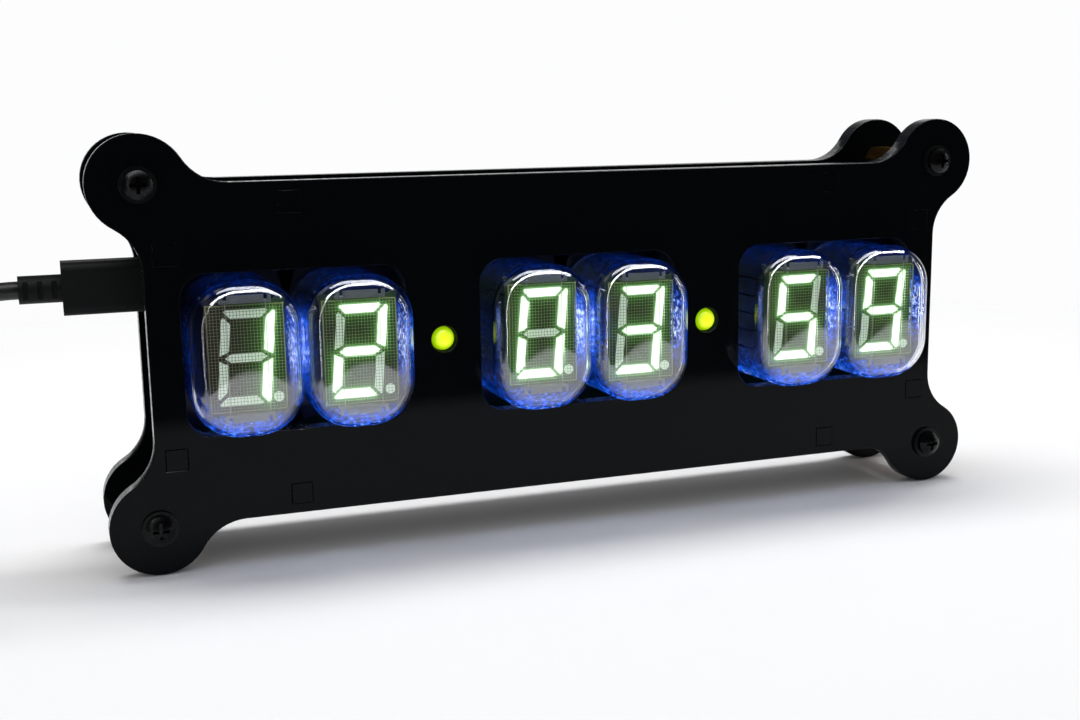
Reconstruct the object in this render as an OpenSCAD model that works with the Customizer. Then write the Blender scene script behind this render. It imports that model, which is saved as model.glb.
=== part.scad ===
// Desk clock: six vacuum fluorescent tubes in a case of two black acrylic sheets.
// Millimetres, +Z up, the front faces -Y.
// The origin is on the table, under the middle of the case.

/* [Sheets] */
// radius of the round lobe about each corner screw
lobe_r = 9.5; // [7:0.5:12]
// radius of the hollow curve between a lobe and an edge
lobe_fillet_r = 10; // [5:0.5:12]
// thickness of every acrylic sheet
sheet_t = 4; // [3:0.5:5]
// height of the sheets above and below the windows, up to the screws
window_margin = 17.25; // [16.5:0.25:24]

/* [Walls] */
// how far the walls sit in from the sheets' edges
wall_inset = 2; // [1.5:0.5:3]
// how far the long walls stop short of the end walls' outer faces
wall_end_cut = 1; // [1:0.5:2]
// width of the tabs that pass through the sheets
tab_w = 4; // [3:0.5:6]
// distance from a corner screw to the long walls' tabs
long_tab_inset = 28; // [20:0.5:60]
// distance from a corner screw to the end walls' tabs
end_tab_inset = 13.25; // [12:0.25:14]
// play about a tab in its slot
tab_play = 0.1; // [0.05:0.05:0.3]

/* [Screws] */
// radius of every screw's shank
screw_r = 1.5; // [1.25:0.05:1.6]
// play about a shank in a hole
screw_play = 0.1; // [0.05:0.05:0.3]
// length of a corner screw's shank
corner_screw_len = 10; // [8:1:12]
// radius of a screw's head
head_r = 2.75; // [2.5:0.05:3]
// height of a screw's head
head_h = 2; // [1.6:0.1:2.4]
// radius of the sphere that rounds a screw's head
head_dome_r = 4; // [3.5:0.1:6]
// length of the cross in a screw's head
cross_len = 3.2; // [2.6:0.1:3.6]
// width of the cross's arms
cross_w = 0.7; // [0.5:0.1:0.9]
// depth of the cross
cross_depth = 1.2; // [0.8:0.1:1.4]
// radius of a corner washer
washer_r = 3.5; // [3.1:0.1:4]
// thickness of a corner washer
washer_t = 0.8; // [0.5:0.1:1.2]
// width across the flats of the brass standoffs and the nuts
hex_flats = 5.5; // [5:0.1:5.5]

/* [Tubes] */
// gap between the two tubes of a pair
tube_gap = 0.4; // [0.3:0.1:2]
// gap between neighbouring pairs of tubes
pair_gap = 16.4; // [14:0.2:24]
// gap between the outer tubes and the end walls
end_gap = 0.7; // [0.5:0.1:3]
// width of a tube's glass
tube_w = 21.6; // [20:0.2:24]
// height of a tube's glass
tube_h = 30.2; // [29:0.2:34]
// corner radius of a tube's glass, seen from the front
tube_corner_r = 9; // [7:0.5:9.5]
// radius of the rounding between a tube's sides and its front
tube_edge_r = 5; // [4:0.5:6]
// wall of the glass
glass_t = 1; // [0.8:0.1:1.2]
// how far the glass stands out of the front sheet
tube_out = 12; // [11:0.5:14]
// depth from the sheet's front face to the back of a tube's base
tube_in = 13; // [12:0.5:13]
// thickness of the glass base that closes a tube
base_t = 2; // [1.5:0.1:3]
// gap between the glass and a window's sides
window_play_x = 0.3; // [0.2:0.1:0.8]
// gap between the glass and a window's top and bottom
window_play_z = 0.9; // [0.4:0.1:1.4]
// corner radius of the windows
window_r = 5; // [3:0.5:6]

/* [Inside a tube] */
// how far the digit stands in front of the sheet
digit_out = 6; // [5:0.5:6.5]
// width of a digit
digit_w = 10; // [8:0.2:10.4]
// height of a digit
digit_h = 18.4; // [16:0.2:19]
// width of a segment's stroke
stroke = 1.7; // [1.2:0.1:2]
// gap between neighbouring segments
segment_gap = 0.5; // [0.2:0.05:0.6]
// bevel of a digit's outer corners
digit_bevel = 0.7; // [0.4:0.1:1]
// how far a digit's level end segments sit to the left, over its left sides
end_shift = 0.5; // [0.1:0.1:0.6]
// thickness of a segment's coating
segment_t = 0.15; // [0.1:0.05:0.2]
// lean of the digits in degrees
digit_slant = 5; // [0:1:7]
// radius of the point beside a digit
point_r = 1; // [0.6:0.1:1]
// gap between the digit and its point
point_gap = 0.5; // [0.3:0.1:0.6]
// height of the point above the digit's foot
point_rise = 0.2; // [0:0.1:1.5]
// gap between the glass and the sides of the plate that carries the digit
anode_gap_x = 2.5; // [1.8:0.1:2.6]
// gap between the glass and the ends of that plate
anode_gap_z = 3.1; // [3:0.1:3.4]
// corner radius of that plate
anode_corner_r = 2.2; // [1.8:0.1:3]
// thickness of that plate
anode_t = 1.2; // [0.8:0.1:1.6]
// gap between the digit and its grid
grid_gap = 0.7; // [0.5:0.1:1]
// thickness of the grid
grid_t = 0.2; // [0.15:0.05:0.3]
// gap between the grid and the strips that hold the heated wires
grid_end_gap = 0.3; // [0.2:0.05:0.5]
// width of the grid's rim
grid_rim = 0.8; // [0.6:0.1:1]
// width of the grid's bars
grid_bar = 0.2; // [0.15:0.05:0.3]
// number of openings across the grid
grid_columns = 9; // [6:1:11]
// number of openings up the grid
grid_rows = 15; // [10:1:17]
// gap between the grid and the heated wires
filament_gap = 0.9; // [0.7:0.1:1.2]
// radius of the heated wires
filament_r = 0.06; // [0.05:0.01:0.1]
// distance between a tube's two heated wires
filament_pitch = 7.5; // [5:0.5:8]
// width of the strip that holds the wires
bracket_w = 9.5; // [9:0.5:10]
// thickness of that strip
bracket_t = 0.4; // [0.3:0.1:0.5]
// how far that strip's flange reaches out
bracket_flange = 1.1; // [0.6:0.1:1.2]
// width of the notches in that flange
notch_w = 0.7; // [0.5:0.1:1]
// radius of a lead wire
lead_r = 0.25; // [0.2:0.05:0.3]
// play about a lead wire in a hole
lead_play = 0.1; // [0.05:0.05:0.15]
// distance between a tube's two columns of leads
lead_span = 10; // [8:0.5:11]
// distance between the leads of a column
lead_pitch = 4; // [3.4:0.2:4]
// number of leads above and below the middle one of a column
lead_rows = 2; // [1:1:2]
// how far the leads stand out behind the board
lead_tail = 1; // [0.6:0.1:1.5]
// radius of the ring that holds the gas absorber
getter_r = 2; // [1.6:0.1:2.4]
// radius of the ring's wire
getter_wire_r = 0.4; // [0.3:0.05:0.5]

/* [Lamps] */
// radius of a colon lamp
lamp_r = 2.5; // [2.3:0.1:2.6]
// length of a colon lamp
lamp_len = 8.6; // [7:0.2:9]
// radius of a colon lamp's collar
lamp_collar_r = 2.9; // [2.8:0.1:3]
// length of a colon lamp's collar
lamp_collar_len = 1; // [0.8:0.1:1.2]
// how far a colon lamp stands out of the front sheet
lamp_out = 0.6; // [0:0.1:1]
// gap between a colon lamp and its hole
lamp_play = 0.2; // [0.1:0.05:0.3]
// distance between a colon lamp's two leads
lamp_lead_pitch = 2.54; // [2:0.01:2.8]
// side of a blue lamp behind a tube
backlight_w = 3; // [2.4:0.2:3.6]
// height of a blue lamp behind a tube
backlight_h = 1.6; // [1.2:0.1:1.9]

/* [Board] */
// gap between the circuit board and the walls
board_gap = 1; // [0.5:0.1:1.5]
// thickness of the circuit board
board_t = 1.6; // [1.2:0.1:1.8]
// length of the spacers between the board and the rear sheet
spacer_len = 5; // [4.8:0.1:5]
// radius of a spacer
spacer_r = 3; // [2.4:0.1:3.2]
// distance from the board's left and right edges to its screws
board_screw_inset_x = 6.5; // [5:0.5:12]
// distance from the board's top and bottom edges to its screws
board_screw_inset_z = 4.75; // [4:0.25:5]
// thickness of a nut
nut_t = 2.4; // [2:0.1:2.6]
// how far a screw stands out of its nut
nut_proud = 0.6; // [0.3:0.1:1]
// height of the chips above the top row of leads
chip_rise = 8; // [8:0.1:9]
// side of the controller chip
controller_w = 7; // [5:0.5:9]
// height of the controller chip
controller_h = 1; // [0.8:0.1:1.4]
// length of the tube driver chip
driver_len = 15.4; // [10:0.2:18]
// width of the wide chips
wide_chip_w = 7.5; // [6:0.5:8]
// height of the wide chips
wide_chip_h = 2.3; // [1.8:0.1:2.6]
// length of the clock chip
clock_chip_len = 10.3; // [8:0.1:12]
// length of the crystal's can
crystal_len = 11; // [8:0.5:12]
// width of the crystal's can
crystal_w = 4.6; // [3:0.2:5]
// height of the crystal's can
crystal_h = 3.5; // [2:0.1:4]
// corner radius of the crystal's can
crystal_corner_r = 1.4; // [1:0.1:1.4]
// radius of the coin cell
cell_r = 6.25; // [5:0.05:6.5]
// thickness of the coin cell
cell_t = 2; // [1.6:0.1:2.4]
// wall of the coin cell's holder
holder_wall = 1; // [0.8:0.1:1.4]
// side of the coil that raises the voltage
choke_w = 8; // [6:0.5:10]
// height of that coil
choke_h = 4; // [3:0.1:4.4]
// corner radius of that coil
choke_corner_r = 1.4; // [1:0.1:2]
// radius of the capacitors
capacitor_r = 3; // [2:0.1:3.4]
// height of the capacitors
capacitor_h = 8; // [6:0.5:9]

/* [Buttons] */
// radius of a set button
button_r = 1.75; // [1.5:0.05:2]
// play about a set button
button_play = 0.1; // [0.08:0.02:0.3]
// how far a set button stands out of the rear sheet
button_out = 1.5; // [1:0.1:2]
// how far a set button moves
button_travel = 0.25; // [0.2:0.05:0.4]
// distance between the set buttons
button_pitch = 14; // [10:0.5:16]
// how far the set buttons are below the middle
button_drop = 14; // [10:0.5:17]
// side of a switch
switch_w = 6; // [5:0.5:7]
// height of a switch
switch_h = 3.5; // [3:0.1:4]
// floor of a switch
switch_floor = 1; // [0.8:0.1:1.4]
// radius of a set button's foot inside its switch
button_foot_r = 2.3; // [2.2:0.05:2.4]
// thickness of that foot
button_foot_t = 0.8; // [0.6:0.1:1]

/* [Supply plug] */
// height of the supply socket above the middle of the sheets
socket_z = 13; // [12:0.5:13.5]
// height of the socket's shell, measured upwards
socket_h = 7.7; // [7:0.1:8]
// thickness of the socket, measured off the board
socket_t = 4; // [3.8:0.1:4.2]
// length of the socket
socket_len = 9; // [8:0.5:9.5]
// gap between the socket and the tubes' bases in front of it
socket_gap = 0.4; // [0.3:0.1:2]
// wall of the socket's and the plug's metal
metal_t = 0.3; // [0.25:0.05:0.35]
// play between the plug's shell and the socket
plug_play = 0.1; // [0.05:0.05:0.15]
// how far the plug's shell goes into the socket
plug_depth = 6; // [5:0.5:6.5]
// thickness of the socket's tongue
tongue_t = 1.2; // [1:0.1:1.4]
// height of the socket's tongue
tongue_h = 4.6; // [4:0.1:5]
// height of the plug's moulded grip
grip_h = 10.4; // [9:0.1:10.6]
// thickness of the plug's moulded grip
grip_t = 8; // [6.6:0.1:8.4]
// corner radius of the grip
grip_corner_r = 1.8; // [1:0.1:2.4]
// length of the grip
grip_len = 20; // [17:0.5:21]
// gap between the grip and the socket
grip_gap = 1.5; // [1:0.1:2]
// gap about the grip in the end wall
wall_hole_play = 0.5; // [0.3:0.1:0.8]
// length of the strain relief
relief_len = 8; // [6:0.5:9]
// radius of the strain relief
relief_r = 2.75; // [2.5:0.05:3.2]
// thickness of the strain relief between the slots in its sides
relief_core = 4.2; // [4:0.1:4.6]
// number of slots in each side of the strain relief
relief_slots = 3; // [2:1:4]
// width of a slot
relief_slot_w = 1; // [0.6:0.1:1.2]

/* [Cord] */
// radius of the supply cord
cord_r = 1.8; // [1.5:0.05:1.8]
// turns of the coil, which lies in two layers
coil_turns = 6.5; // [4.5:1:6.5]
// radius of the coil's innermost turn
coil_inner_r = 15.2; // [14.4:0.1:16]
// distance between neighbouring turns and between the layers
coil_pitch = 4.2; // [4.1:0.1:4.6]
// straight length where the coil ends at the far plug
coil_tail = 12; // [12:0.5:16]
// thickness of the ties that hold the coil together
tie_t = 1.2; // [1:0.1:1.6]
// width of the ties
tie_w = 8; // [6:0.5:10]
// gap between a tie and the cord
tie_gap = 0.3; // [0.2:0.05:0.4]
// length of the far plug's grip
far_grip_len = 18; // [16:0.5:22]
// width of the far plug's grip
far_grip_w = 14; // [13:0.5:16]
// corner radius of the far plug's grip
far_grip_corner_r = 1.5; // [1:0.1:2]
// length of the far plug's metal shell
far_shell_len = 12; // [10:0.5:13]
// width of the far plug's metal shell
far_shell_w = 12; // [11:0.1:12.2]
// thickness of the far plug's metal shell
far_shell_t = 4.5; // [4:0.1:4.6]
// thickness of the tongue in the far plug
far_tongue_t = 1.8; // [1.4:0.1:2]

/* [Hidden] */
// true circles everywhere, since the converter keeps them exact
$fn = 64;
// overlap of a cut past the face that it leaves
past = 1;
// the node to draw, or all of them
// digits on show, from left to right
shown = [1, 2, 0, 3, 5, 9];
// how far the parts inside each tube sit above its middle, since no two tubes are alike
rise = [0.3, 0, 0.9, 0.1, 0.3, 0.5];
// segments a to g that each figure lights, in that order
figures = [
    [1, 1, 1, 1, 1, 1, 0], [0, 1, 1, 0, 0, 0, 0], [1, 1, 0, 1, 1, 0, 1], [1, 1, 1, 1, 0, 0, 1],
    [0, 1, 1, 0, 0, 1, 1], [1, 0, 1, 1, 0, 1, 1], [1, 0, 1, 1, 1, 1, 1], [1, 1, 1, 0, 0, 0, 0],
    [1, 1, 1, 1, 1, 1, 1], [1, 1, 1, 1, 0, 1, 1]
];

// places of the tubes and the sheets about them
tube_pitch = tube_w + tube_gap;
pair_pitch = tube_pitch + tube_w + pair_gap;
tube_x = [for (pair = [-1:1], side = [-1, 1]) pair * pair_pitch + side * tube_pitch / 2];
window_w = tube_pitch + tube_w + 2 * window_play_x;
window_h = tube_h + 2 * window_play_z;
half_x = pair_pitch + tube_pitch / 2 + tube_w / 2 + end_gap + sheet_t + wall_inset;
half_z = window_h / 2 + window_margin;
sheet_gap = tube_in - sheet_t + socket_gap + socket_t + board_t + spacer_len;
centre_z = half_z + lobe_r;
rear_out = max(washer_t + head_h, button_out);
total_depth = tube_out + 2 * sheet_t + sheet_gap + rear_out;
front_y = tube_out - total_depth / 2;
front_back_y = front_y + sheet_t;
rear_front_y = front_back_y + sheet_gap;
rear_y = rear_front_y + sheet_t;
fillet_reach = sqrt(pow(lobe_r + lobe_fillet_r, 2) - pow(lobe_fillet_r, 2));
hole_r = screw_r + screw_play;

// places of the walls
wall_x = half_x - wall_inset;
wall_z = half_z - wall_inset;
inside_x = wall_x - sheet_t;
inside_z = wall_z - sheet_t;
slot_w = tab_w + 2 * tab_play;
slot_t = sheet_t + 2 * tab_play;
tab_x = half_x - long_tab_inset;
tab_z = half_z - end_tab_inset;

// places inside the tubes
base_back_y = front_y + tube_in;
base_front_y = base_back_y - base_t;
bulb_len = tube_out + tube_in - base_t;
digit_y = front_y - digit_out;
anode_w = tube_w - 2 * glass_t - 2 * anode_gap_x;
anode_h = tube_h - 2 * glass_t - 2 * anode_gap_z;
anode_front_y = digit_y + segment_t;
anode_back_y = anode_front_y + anode_t;
grid_y = digit_y - grid_gap;
filament_y = grid_y - grid_t - filament_gap;
bracket_z = anode_h / 2 - bracket_t;
grid_w = anode_w;
grid_h = 2 * (bracket_z - grid_end_gap);
lamp_x = pair_pitch / 2;

// places of the board
board_half_x = inside_x - board_gap;
board_half_z = inside_z - board_gap;
board_back_y = rear_front_y - spacer_len;
board_front_y = board_back_y - board_t;
board_screw_x = board_half_x - board_screw_inset_x;
board_screw_z = board_half_z - board_screw_inset_z;
lead_back_y = board_back_y + lead_tail;
button_z = centre_z - button_drop;
button_x = [for (i = [-1:1]) i * button_pitch];
cell_x = 42;
choke_x = 60;
controller_x = -12;
driver_x = -36;
clock_chip_x = 20;
crystal_x = 30;
chip_z = lead_rows * lead_pitch + chip_rise;
crystal_z = -6;
capacitor_x = [-30, 30];
capacitor_z = -21;

// places of the plug
socket_x = -board_half_x;
plug_y = board_front_y - socket_t / 2;
plug_z = centre_z + socket_z;
grip_x = socket_x - grip_gap;
grip_end_x = grip_x - grip_len;
relief_end_x = grip_end_x - relief_len;
plug_shell_h = socket_h - 2 * metal_t - 2 * plug_play;
plug_shell_t = socket_t - 2 * metal_t - 2 * plug_play;

// places of the cord, whose free length goes through points chosen by hand
coil_x = -172;
coil_y = 0;
coil_low_z = tie_t + tie_gap + cord_r;
coil_high_z = coil_low_z + coil_pitch;
coil_outer_r = coil_inner_r + coil_pitch * coil_turns / 2;
lead_points = [
    [relief_end_x, plug_y, plug_z], [-113.5, 6, 55.7], [-117.5, 6.2, 55.3], [-121, 6.7, 54.4],
    [-125, 7.6, 53], [-128.5, 8.6, 51.1], [-131.8, 9.7, 48.7], [-134.6, 11, 46], [-137.2, 12.5, 42.8],
    [-139.2, 14.1, 39.4], [-140.8, 15.8, 35.6], [-142, 17.4, 31.8], [-143.3, 19.2, 28],
    [-144.9, 20.9, 24.2], [-146.9, 22.5, 20.6], [-149.5, 24.1, 17.4], [-152.4, 25.5, 14.7],
    [-155.8, 26.8, 12.3], [-159.5, 27.8, 10.3], [-163.2, 28.5, 8.9], [-166.6, 28.8, 8],
    [coil_x, coil_y + coil_outer_r, coil_high_z]
];
far_relief_x = coil_x + coil_tail;
far_grip_x = far_relief_x + relief_len;
far_shell_x = far_grip_x + far_grip_len;
far_plug_y = coil_y - coil_outer_r;
far_grip_t = 2 * coil_low_z;

// Shared shapes

// a drawing of the front, x to the right and y up, thickened towards the front from depth y
module facing_front(y) {
    translate([0, y, centre_z])
        rotate([90, 0, 0])
            children();
}

// the same, thickened towards the back
module facing_back(y) {
    translate([0, y, centre_z])
        rotate([90, 0, 0])
            mirror([0, 0, 1])
                children();
}

// a copy in each corner of a rectangle of half sizes x and z
module at_corners(x, z) {
    for (side = [0, 1], end = [0, 1])
        mirror([side, 0, 0])
            mirror([0, end, 0])
                translate([x, z, 0])
                    children();
}

// a flat rectangle with round corners
module round_rectangle(w, h, r) {
    difference() {
        square([w, h], center = true);
        at_corners(w / 2 - r, h / 2 - r)
            difference() {
                square(r + past);
                circle(r);
            }
    }
}

// a rectangle with two round corners at its top, standing on the x axis
module arch(w, h, r) {
    translate([-w / 2, 0])
        square([w, h - r]);
    translate([r - w / 2, 0])
        square([w - 2 * r, h]);
    for (side = [-1, 1])
        translate([side * (w / 2 - r), h - r])
            circle(r);
}

// a bar with round corners whose front edges are rounded too
module rounded_bar(w, h, corner_r, edge_r, len) {
    rotate([90, 0, 90])
        linear_extrude(w - 2 * corner_r, center = true)
            arch(h, len, edge_r);
    rotate([90, 0, 0])
        linear_extrude(h - 2 * corner_r, center = true)
            arch(w, len, edge_r);
    at_corners(w / 2 - corner_r, h / 2 - corner_r)
        rotate_extrude()
            intersection() {
                arch(2 * corner_r, len, edge_r);
                square([corner_r, len]);
            }
}

// a screw whose head stands on z = 0 and whose shank goes down
module cross_screw(len) {
    difference() {
        intersection() {
            cylinder(r = head_r, h = head_h);
            translate([0, 0, head_h - head_dome_r])
                sphere(head_dome_r);
        }
        for (turn = [0, 90])
            rotate([0, 0, turn])
                translate([-cross_len / 2, -cross_w / 2, head_h - cross_depth])
                    cube([cross_len, cross_w, cross_depth + past]);
    }
    translate([0, 0, -len])
        cylinder(r = screw_r, h = len);
}

// a six-sided bar of the standoffs' and nuts' width, with a hole for a screw
module hex_bar(len) {
    difference() {
        cylinder(r = hex_flats / sqrt(3), h = len, $fn = 6);
        translate([0, 0, -past])
            cylinder(r = hole_r, h = len + 2 * past);
    }
}

// Sheets and walls

// the hollow curve from a lobe to the edge that runs left from it
module lobe_fillet() {
    linear_extrude(sheet_t)
        difference() {
            polygon([[0, 0], [0, -past], [-fillet_reach, -past], [-fillet_reach, lobe_fillet_r]]);
            translate([-fillet_reach, lobe_fillet_r])
                circle(lobe_fillet_r);
        }
}

// a sheet before its holes are cut
module sheet_blank() {
    translate([-half_x, -half_z, 0])
        cube([2 * half_x, 2 * half_z, sheet_t]);
    at_corners(half_x, half_z) {
        cylinder(r = lobe_r, h = sheet_t);
        lobe_fillet();
        mirror([1, -1, 0])
            lobe_fillet();
    }
}

// the cuts that both sheets share: corner holes and tab slots
module shared_cuts() {
    at_corners(half_x, half_z)
        circle(hole_r);
    at_corners(tab_x, wall_z - sheet_t / 2)
        square([slot_w, slot_t], center = true);
    at_corners(wall_x - sheet_t / 2, tab_z)
        square([slot_t, slot_w], center = true);
}

module cut_sheet() {
    difference() {
        sheet_blank();
        translate([0, 0, -past])
            linear_extrude(sheet_t + 2 * past) {
                shared_cuts();
                children();
            }
    }
}

module front_plate() {
    color("#0b0c0e")
        facing_front(front_back_y)
            cut_sheet() {
                for (pair = [-1:1])
                    translate([pair * pair_pitch, 0])
                        round_rectangle(window_w, window_h, window_r);
                for (side = [-1, 1])
                    translate([side * lamp_x, 0])
                        circle(lamp_r + lamp_play);
            }
}

module rear_plate() {
    color("#0b0c0e")
        facing_front(rear_y)
            cut_sheet() {
                at_corners(board_screw_x, board_screw_z)
                    circle(hole_r);
                for (x = button_x)
                    translate([x, -button_drop])
                        circle(button_r + button_play);
            }
}

// a long wall with its outer face at z = 0 and its tabs in both sheets
module long_wall() {
    len = 2 * (wall_x - wall_end_cut);
    translate([-len / 2, front_back_y, -sheet_t])
        cube([len, sheet_gap, sheet_t]);
    for (side = [-1, 1])
        translate([side * tab_x - tab_w / 2, front_y, -sheet_t])
            cube([tab_w, rear_y - front_y, sheet_t]);
}

module top_wall() {
    color("#0d0e10")
        translate([0, 0, centre_z + wall_z])
            long_wall();
}

module bottom_wall() {
    color("#0d0e10")
        translate([0, 0, centre_z - wall_z + sheet_t])
            long_wall();
}

// an end wall with its outer face at x = 0 and its body towards +x
module end_wall() {
    translate([0, front_back_y, centre_z - inside_z])
        cube([sheet_t, sheet_gap, 2 * inside_z]);
    for (side = [-1, 1])
        translate([0, front_y, centre_z + side * tab_z - tab_w / 2])
            cube([sheet_t, rear_y - front_y, tab_w]);
}

module left_wall() {
    hole_t = grip_t + 2 * wall_hole_play;
    hole_h = grip_h + 2 * wall_hole_play;
    color("#0d0e10")
        difference() {
            translate([-wall_x, 0, 0])
                end_wall();
            translate([-wall_x - past, plug_y - hole_t / 2, plug_z - hole_h / 2])
                cube([sheet_t + 2 * past, hole_t, hole_h]);
        }
}

module right_wall() {
    color("#0d0e10")
        translate([inside_x, 0, 0])
            end_wall();
}

// Fasteners

module standoffs() {
    color("#b08a45")
        facing_front(rear_front_y)
            at_corners(half_x, half_z)
                hex_bar(sheet_gap);
}

module front_screws() {
    color("#141517")
        facing_front(front_y - washer_t)
            at_corners(half_x, half_z)
                cross_screw(corner_screw_len);
}

module washer() {
    difference() {
        cylinder(r = washer_r, h = washer_t);
        translate([0, 0, -past])
            cylinder(r = hole_r, h = washer_t + 2 * past);
    }
}

module front_washers() {
    color("#17181a")
        facing_front(front_y)
            at_corners(half_x, half_z)
                washer();
}

module rear_screws() {
    color("#141517")
        facing_back(rear_y + washer_t)
            at_corners(half_x, half_z)
                cross_screw(corner_screw_len);
}

module rear_washers() {
    color("#17181a")
        facing_back(rear_y)
            at_corners(half_x, half_z)
                washer();
}

// Circuit board and what it carries

module at_leads() {
    for (x = tube_x, side = [-1, 1], row = [-lead_rows:lead_rows])
        translate([x + side * lead_span / 2, row * lead_pitch, 0])
            children();
}

module at_lamp_leads() {
    for (lamp = [-1, 1], side = [-1, 1])
        translate([lamp * lamp_x + side * lamp_lead_pitch / 2, 0, 0])
            children();
}

module main_board() {
    color("#12351f")
        facing_front(board_back_y)
            difference() {
                translate([-board_half_x, -board_half_z, 0])
                    cube([2 * board_half_x, 2 * board_half_z, board_t]);
                translate([0, 0, -past]) {
                    at_corners(board_screw_x, board_screw_z)
                        cylinder(r = hole_r, h = board_t + 2 * past);
                    at_leads()
                        cylinder(r = lead_r + lead_play, h = board_t + 2 * past);
                    at_lamp_leads()
                        cylinder(r = lead_r + lead_play, h = board_t + 2 * past);
                }
            }
}

module board_spacers() {
    color("#c9c9c4")
        facing_front(rear_front_y)
            at_corners(board_screw_x, board_screw_z)
                difference() {
                    cylinder(r = spacer_r, h = spacer_len);
                    translate([0, 0, -past])
                        cylinder(r = hole_r, h = spacer_len + 2 * past);
                }
}

module board_screws() {
    color("#141517")
        facing_back(rear_y)
            at_corners(board_screw_x, board_screw_z)
                cross_screw(sheet_t + spacer_len + board_t + nut_t + nut_proud);
}

module board_nuts() {
    color("#a9abad")
        facing_front(board_front_y)
            at_corners(board_screw_x, board_screw_z)
                hex_bar(nut_t);
}

module chips() {
    color("#1b1c1e")
        facing_back(board_back_y) {
            translate([controller_x - controller_w / 2, chip_z - controller_w / 2, 0])
                cube([controller_w, controller_w, controller_h]);
            translate([driver_x - driver_len / 2, chip_z - wide_chip_w / 2, 0])
                cube([driver_len, wide_chip_w, wide_chip_h]);
            translate([clock_chip_x - clock_chip_len / 2, chip_z - wide_chip_w / 2, 0])
                cube([clock_chip_len, wide_chip_w, wide_chip_h]);
        }
}

module crystal() {
    color("#b9bbbd")
        facing_back(board_back_y)
            translate([crystal_x, crystal_z, 0])
                linear_extrude(crystal_h)
                    round_rectangle(crystal_len, crystal_w, crystal_corner_r);
}

module cell_holder() {
    outer_r = cell_r + screw_play + holder_wall;
    color("#26282a")
        facing_back(board_back_y)
            translate([cell_x, chip_z, 0])
                difference() {
                    cylinder(r = outer_r, h = holder_wall + cell_t);
                    translate([0, 0, holder_wall])
                        cylinder(r = cell_r + screw_play, h = cell_t + past);
                }
}

module coin_cell() {
    color("#c4c6c8")
        facing_back(board_back_y + holder_wall)
            translate([cell_x, chip_z, 0])
                cylinder(r = cell_r, h = cell_t);
}

module choke() {
    color("#2b2b2d")
        facing_back(board_back_y)
            translate([choke_x, chip_z, 0])
                linear_extrude(choke_h)
                    round_rectangle(choke_w, choke_w, choke_corner_r);
}

module capacitors() {
    color("#2a3350")
        facing_front(board_front_y)
            for (x = capacitor_x)
                translate([x, capacitor_z, 0])
                    cylinder(r = capacitor_r, h = capacitor_h);
}

module backlights() {
    color("#e8ecf4")
        facing_front(board_front_y)
            for (x = tube_x)
                translate([x - backlight_w / 2, -backlight_w / 2, 0])
                    cube([backlight_w, backlight_w, backlight_h]);
}

// Tubes

module tube_glass(number) {
    color("#dfe8ee", 0.35)
        facing_front(base_front_y)
            translate([tube_x[number - 1], 0, 0])
                difference() {
                    rounded_bar(tube_w, tube_h, tube_corner_r, tube_edge_r, bulb_len);
                    translate([0, 0, -past])
                        rounded_bar(tube_w - 2 * glass_t, tube_h - 2 * glass_t,
                            tube_corner_r - glass_t, tube_edge_r - glass_t,
                            bulb_len - glass_t + past);
                }
}

module tube_bases() {
    color("#dfe8ee", 0.35)
        facing_front(base_back_y)
            difference() {
                for (x = tube_x)
                    translate([x, 0, 0])
                        linear_extrude(base_t)
                            round_rectangle(tube_w, tube_h, tube_corner_r);
                translate([0, 0, -past])
                    at_leads()
                        cylinder(r = lead_r + lead_play, h = base_t + 2 * past);
            }
}

// a copy in every tube, on the axis of the parts inside it
module in_tubes() {
    for (i = [0:len(tube_x) - 1])
        translate([tube_x[i], rise[i], 0])
            children();
}

module anode_plates() {
    color("#4a4640")
        facing_front(anode_back_y)
            in_tubes()
                linear_extrude(anode_t)
                    round_rectangle(anode_w, anode_h, anode_corner_r);
}

// a digit's point, moved with the digit's lean
function leaned(points) = [for (p = points) [p[0] + p[1] * tan(digit_slant), p[1]]];

// outlines of segments a to g about the digit's middle, before they lean
function segment_outlines() =
    let (w = digit_w / 2, h = digit_h / 2, s = stroke, m = segment_gap, b = digit_bevel, k = end_shift)
    let (
        top = [[m + b - w - k, h], [w - m - b - k, h], [w - m - b / 2 - k, h - b / 2],
            [w - m - s - k, h - s], [m + s - w - k, h - s], [m + b / 2 - w - k, h - b / 2]],
        right = [[w, h - m - b + k], [w - b / 2, h - m - b / 2 + k], [w - s, h - m - s + k],
            [w - s, s / 2 + m], [w, m]],
        left = [[-w, h - m - b - k], [b / 2 - w, h - m - b / 2 - k], [s - w, h - m - s - k],
            [s - w, s / 2 + m], [-w, m]],
        middle = [[2 * m - w, 0], [s + m - w, s / 2], [w - s - m, s / 2],
            [w - 2 * m, 0], [w - s - m, -s / 2], [s + m - w, -s / 2]]
    )
    [
        top, right, [for (p = right) [p[0], -p[1]]], [for (p = top) [p[0], -p[1]]],
        [for (p = left) [p[0], -p[1]]], left, middle
    ];

// the segments of every tube whose state, 1 for lit, is the one asked for
module segments(state) {
    outlines = segment_outlines();
    point = [digit_w / 2 + point_gap + point_r, point_rise + point_r - digit_h / 2];
    facing_front(anode_front_y)
        for (i = [0:len(tube_x) - 1])
            translate([tube_x[i], rise[i], 0]) {
                for (k = [0:len(outlines) - 1])
                    if (figures[shown[i]][k] == state)
                        linear_extrude(segment_t)
                            polygon(leaned(outlines[k]));
                if (state == 0)
                    translate(leaned([point])[0])
                        cylinder(r = point_r, h = segment_t);
            }
}

module lit_segments() {
    color("#f2fff0")
        segments(1);
}

module dark_segments() {
    color("#9fb09a")
        segments(0);
}

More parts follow.
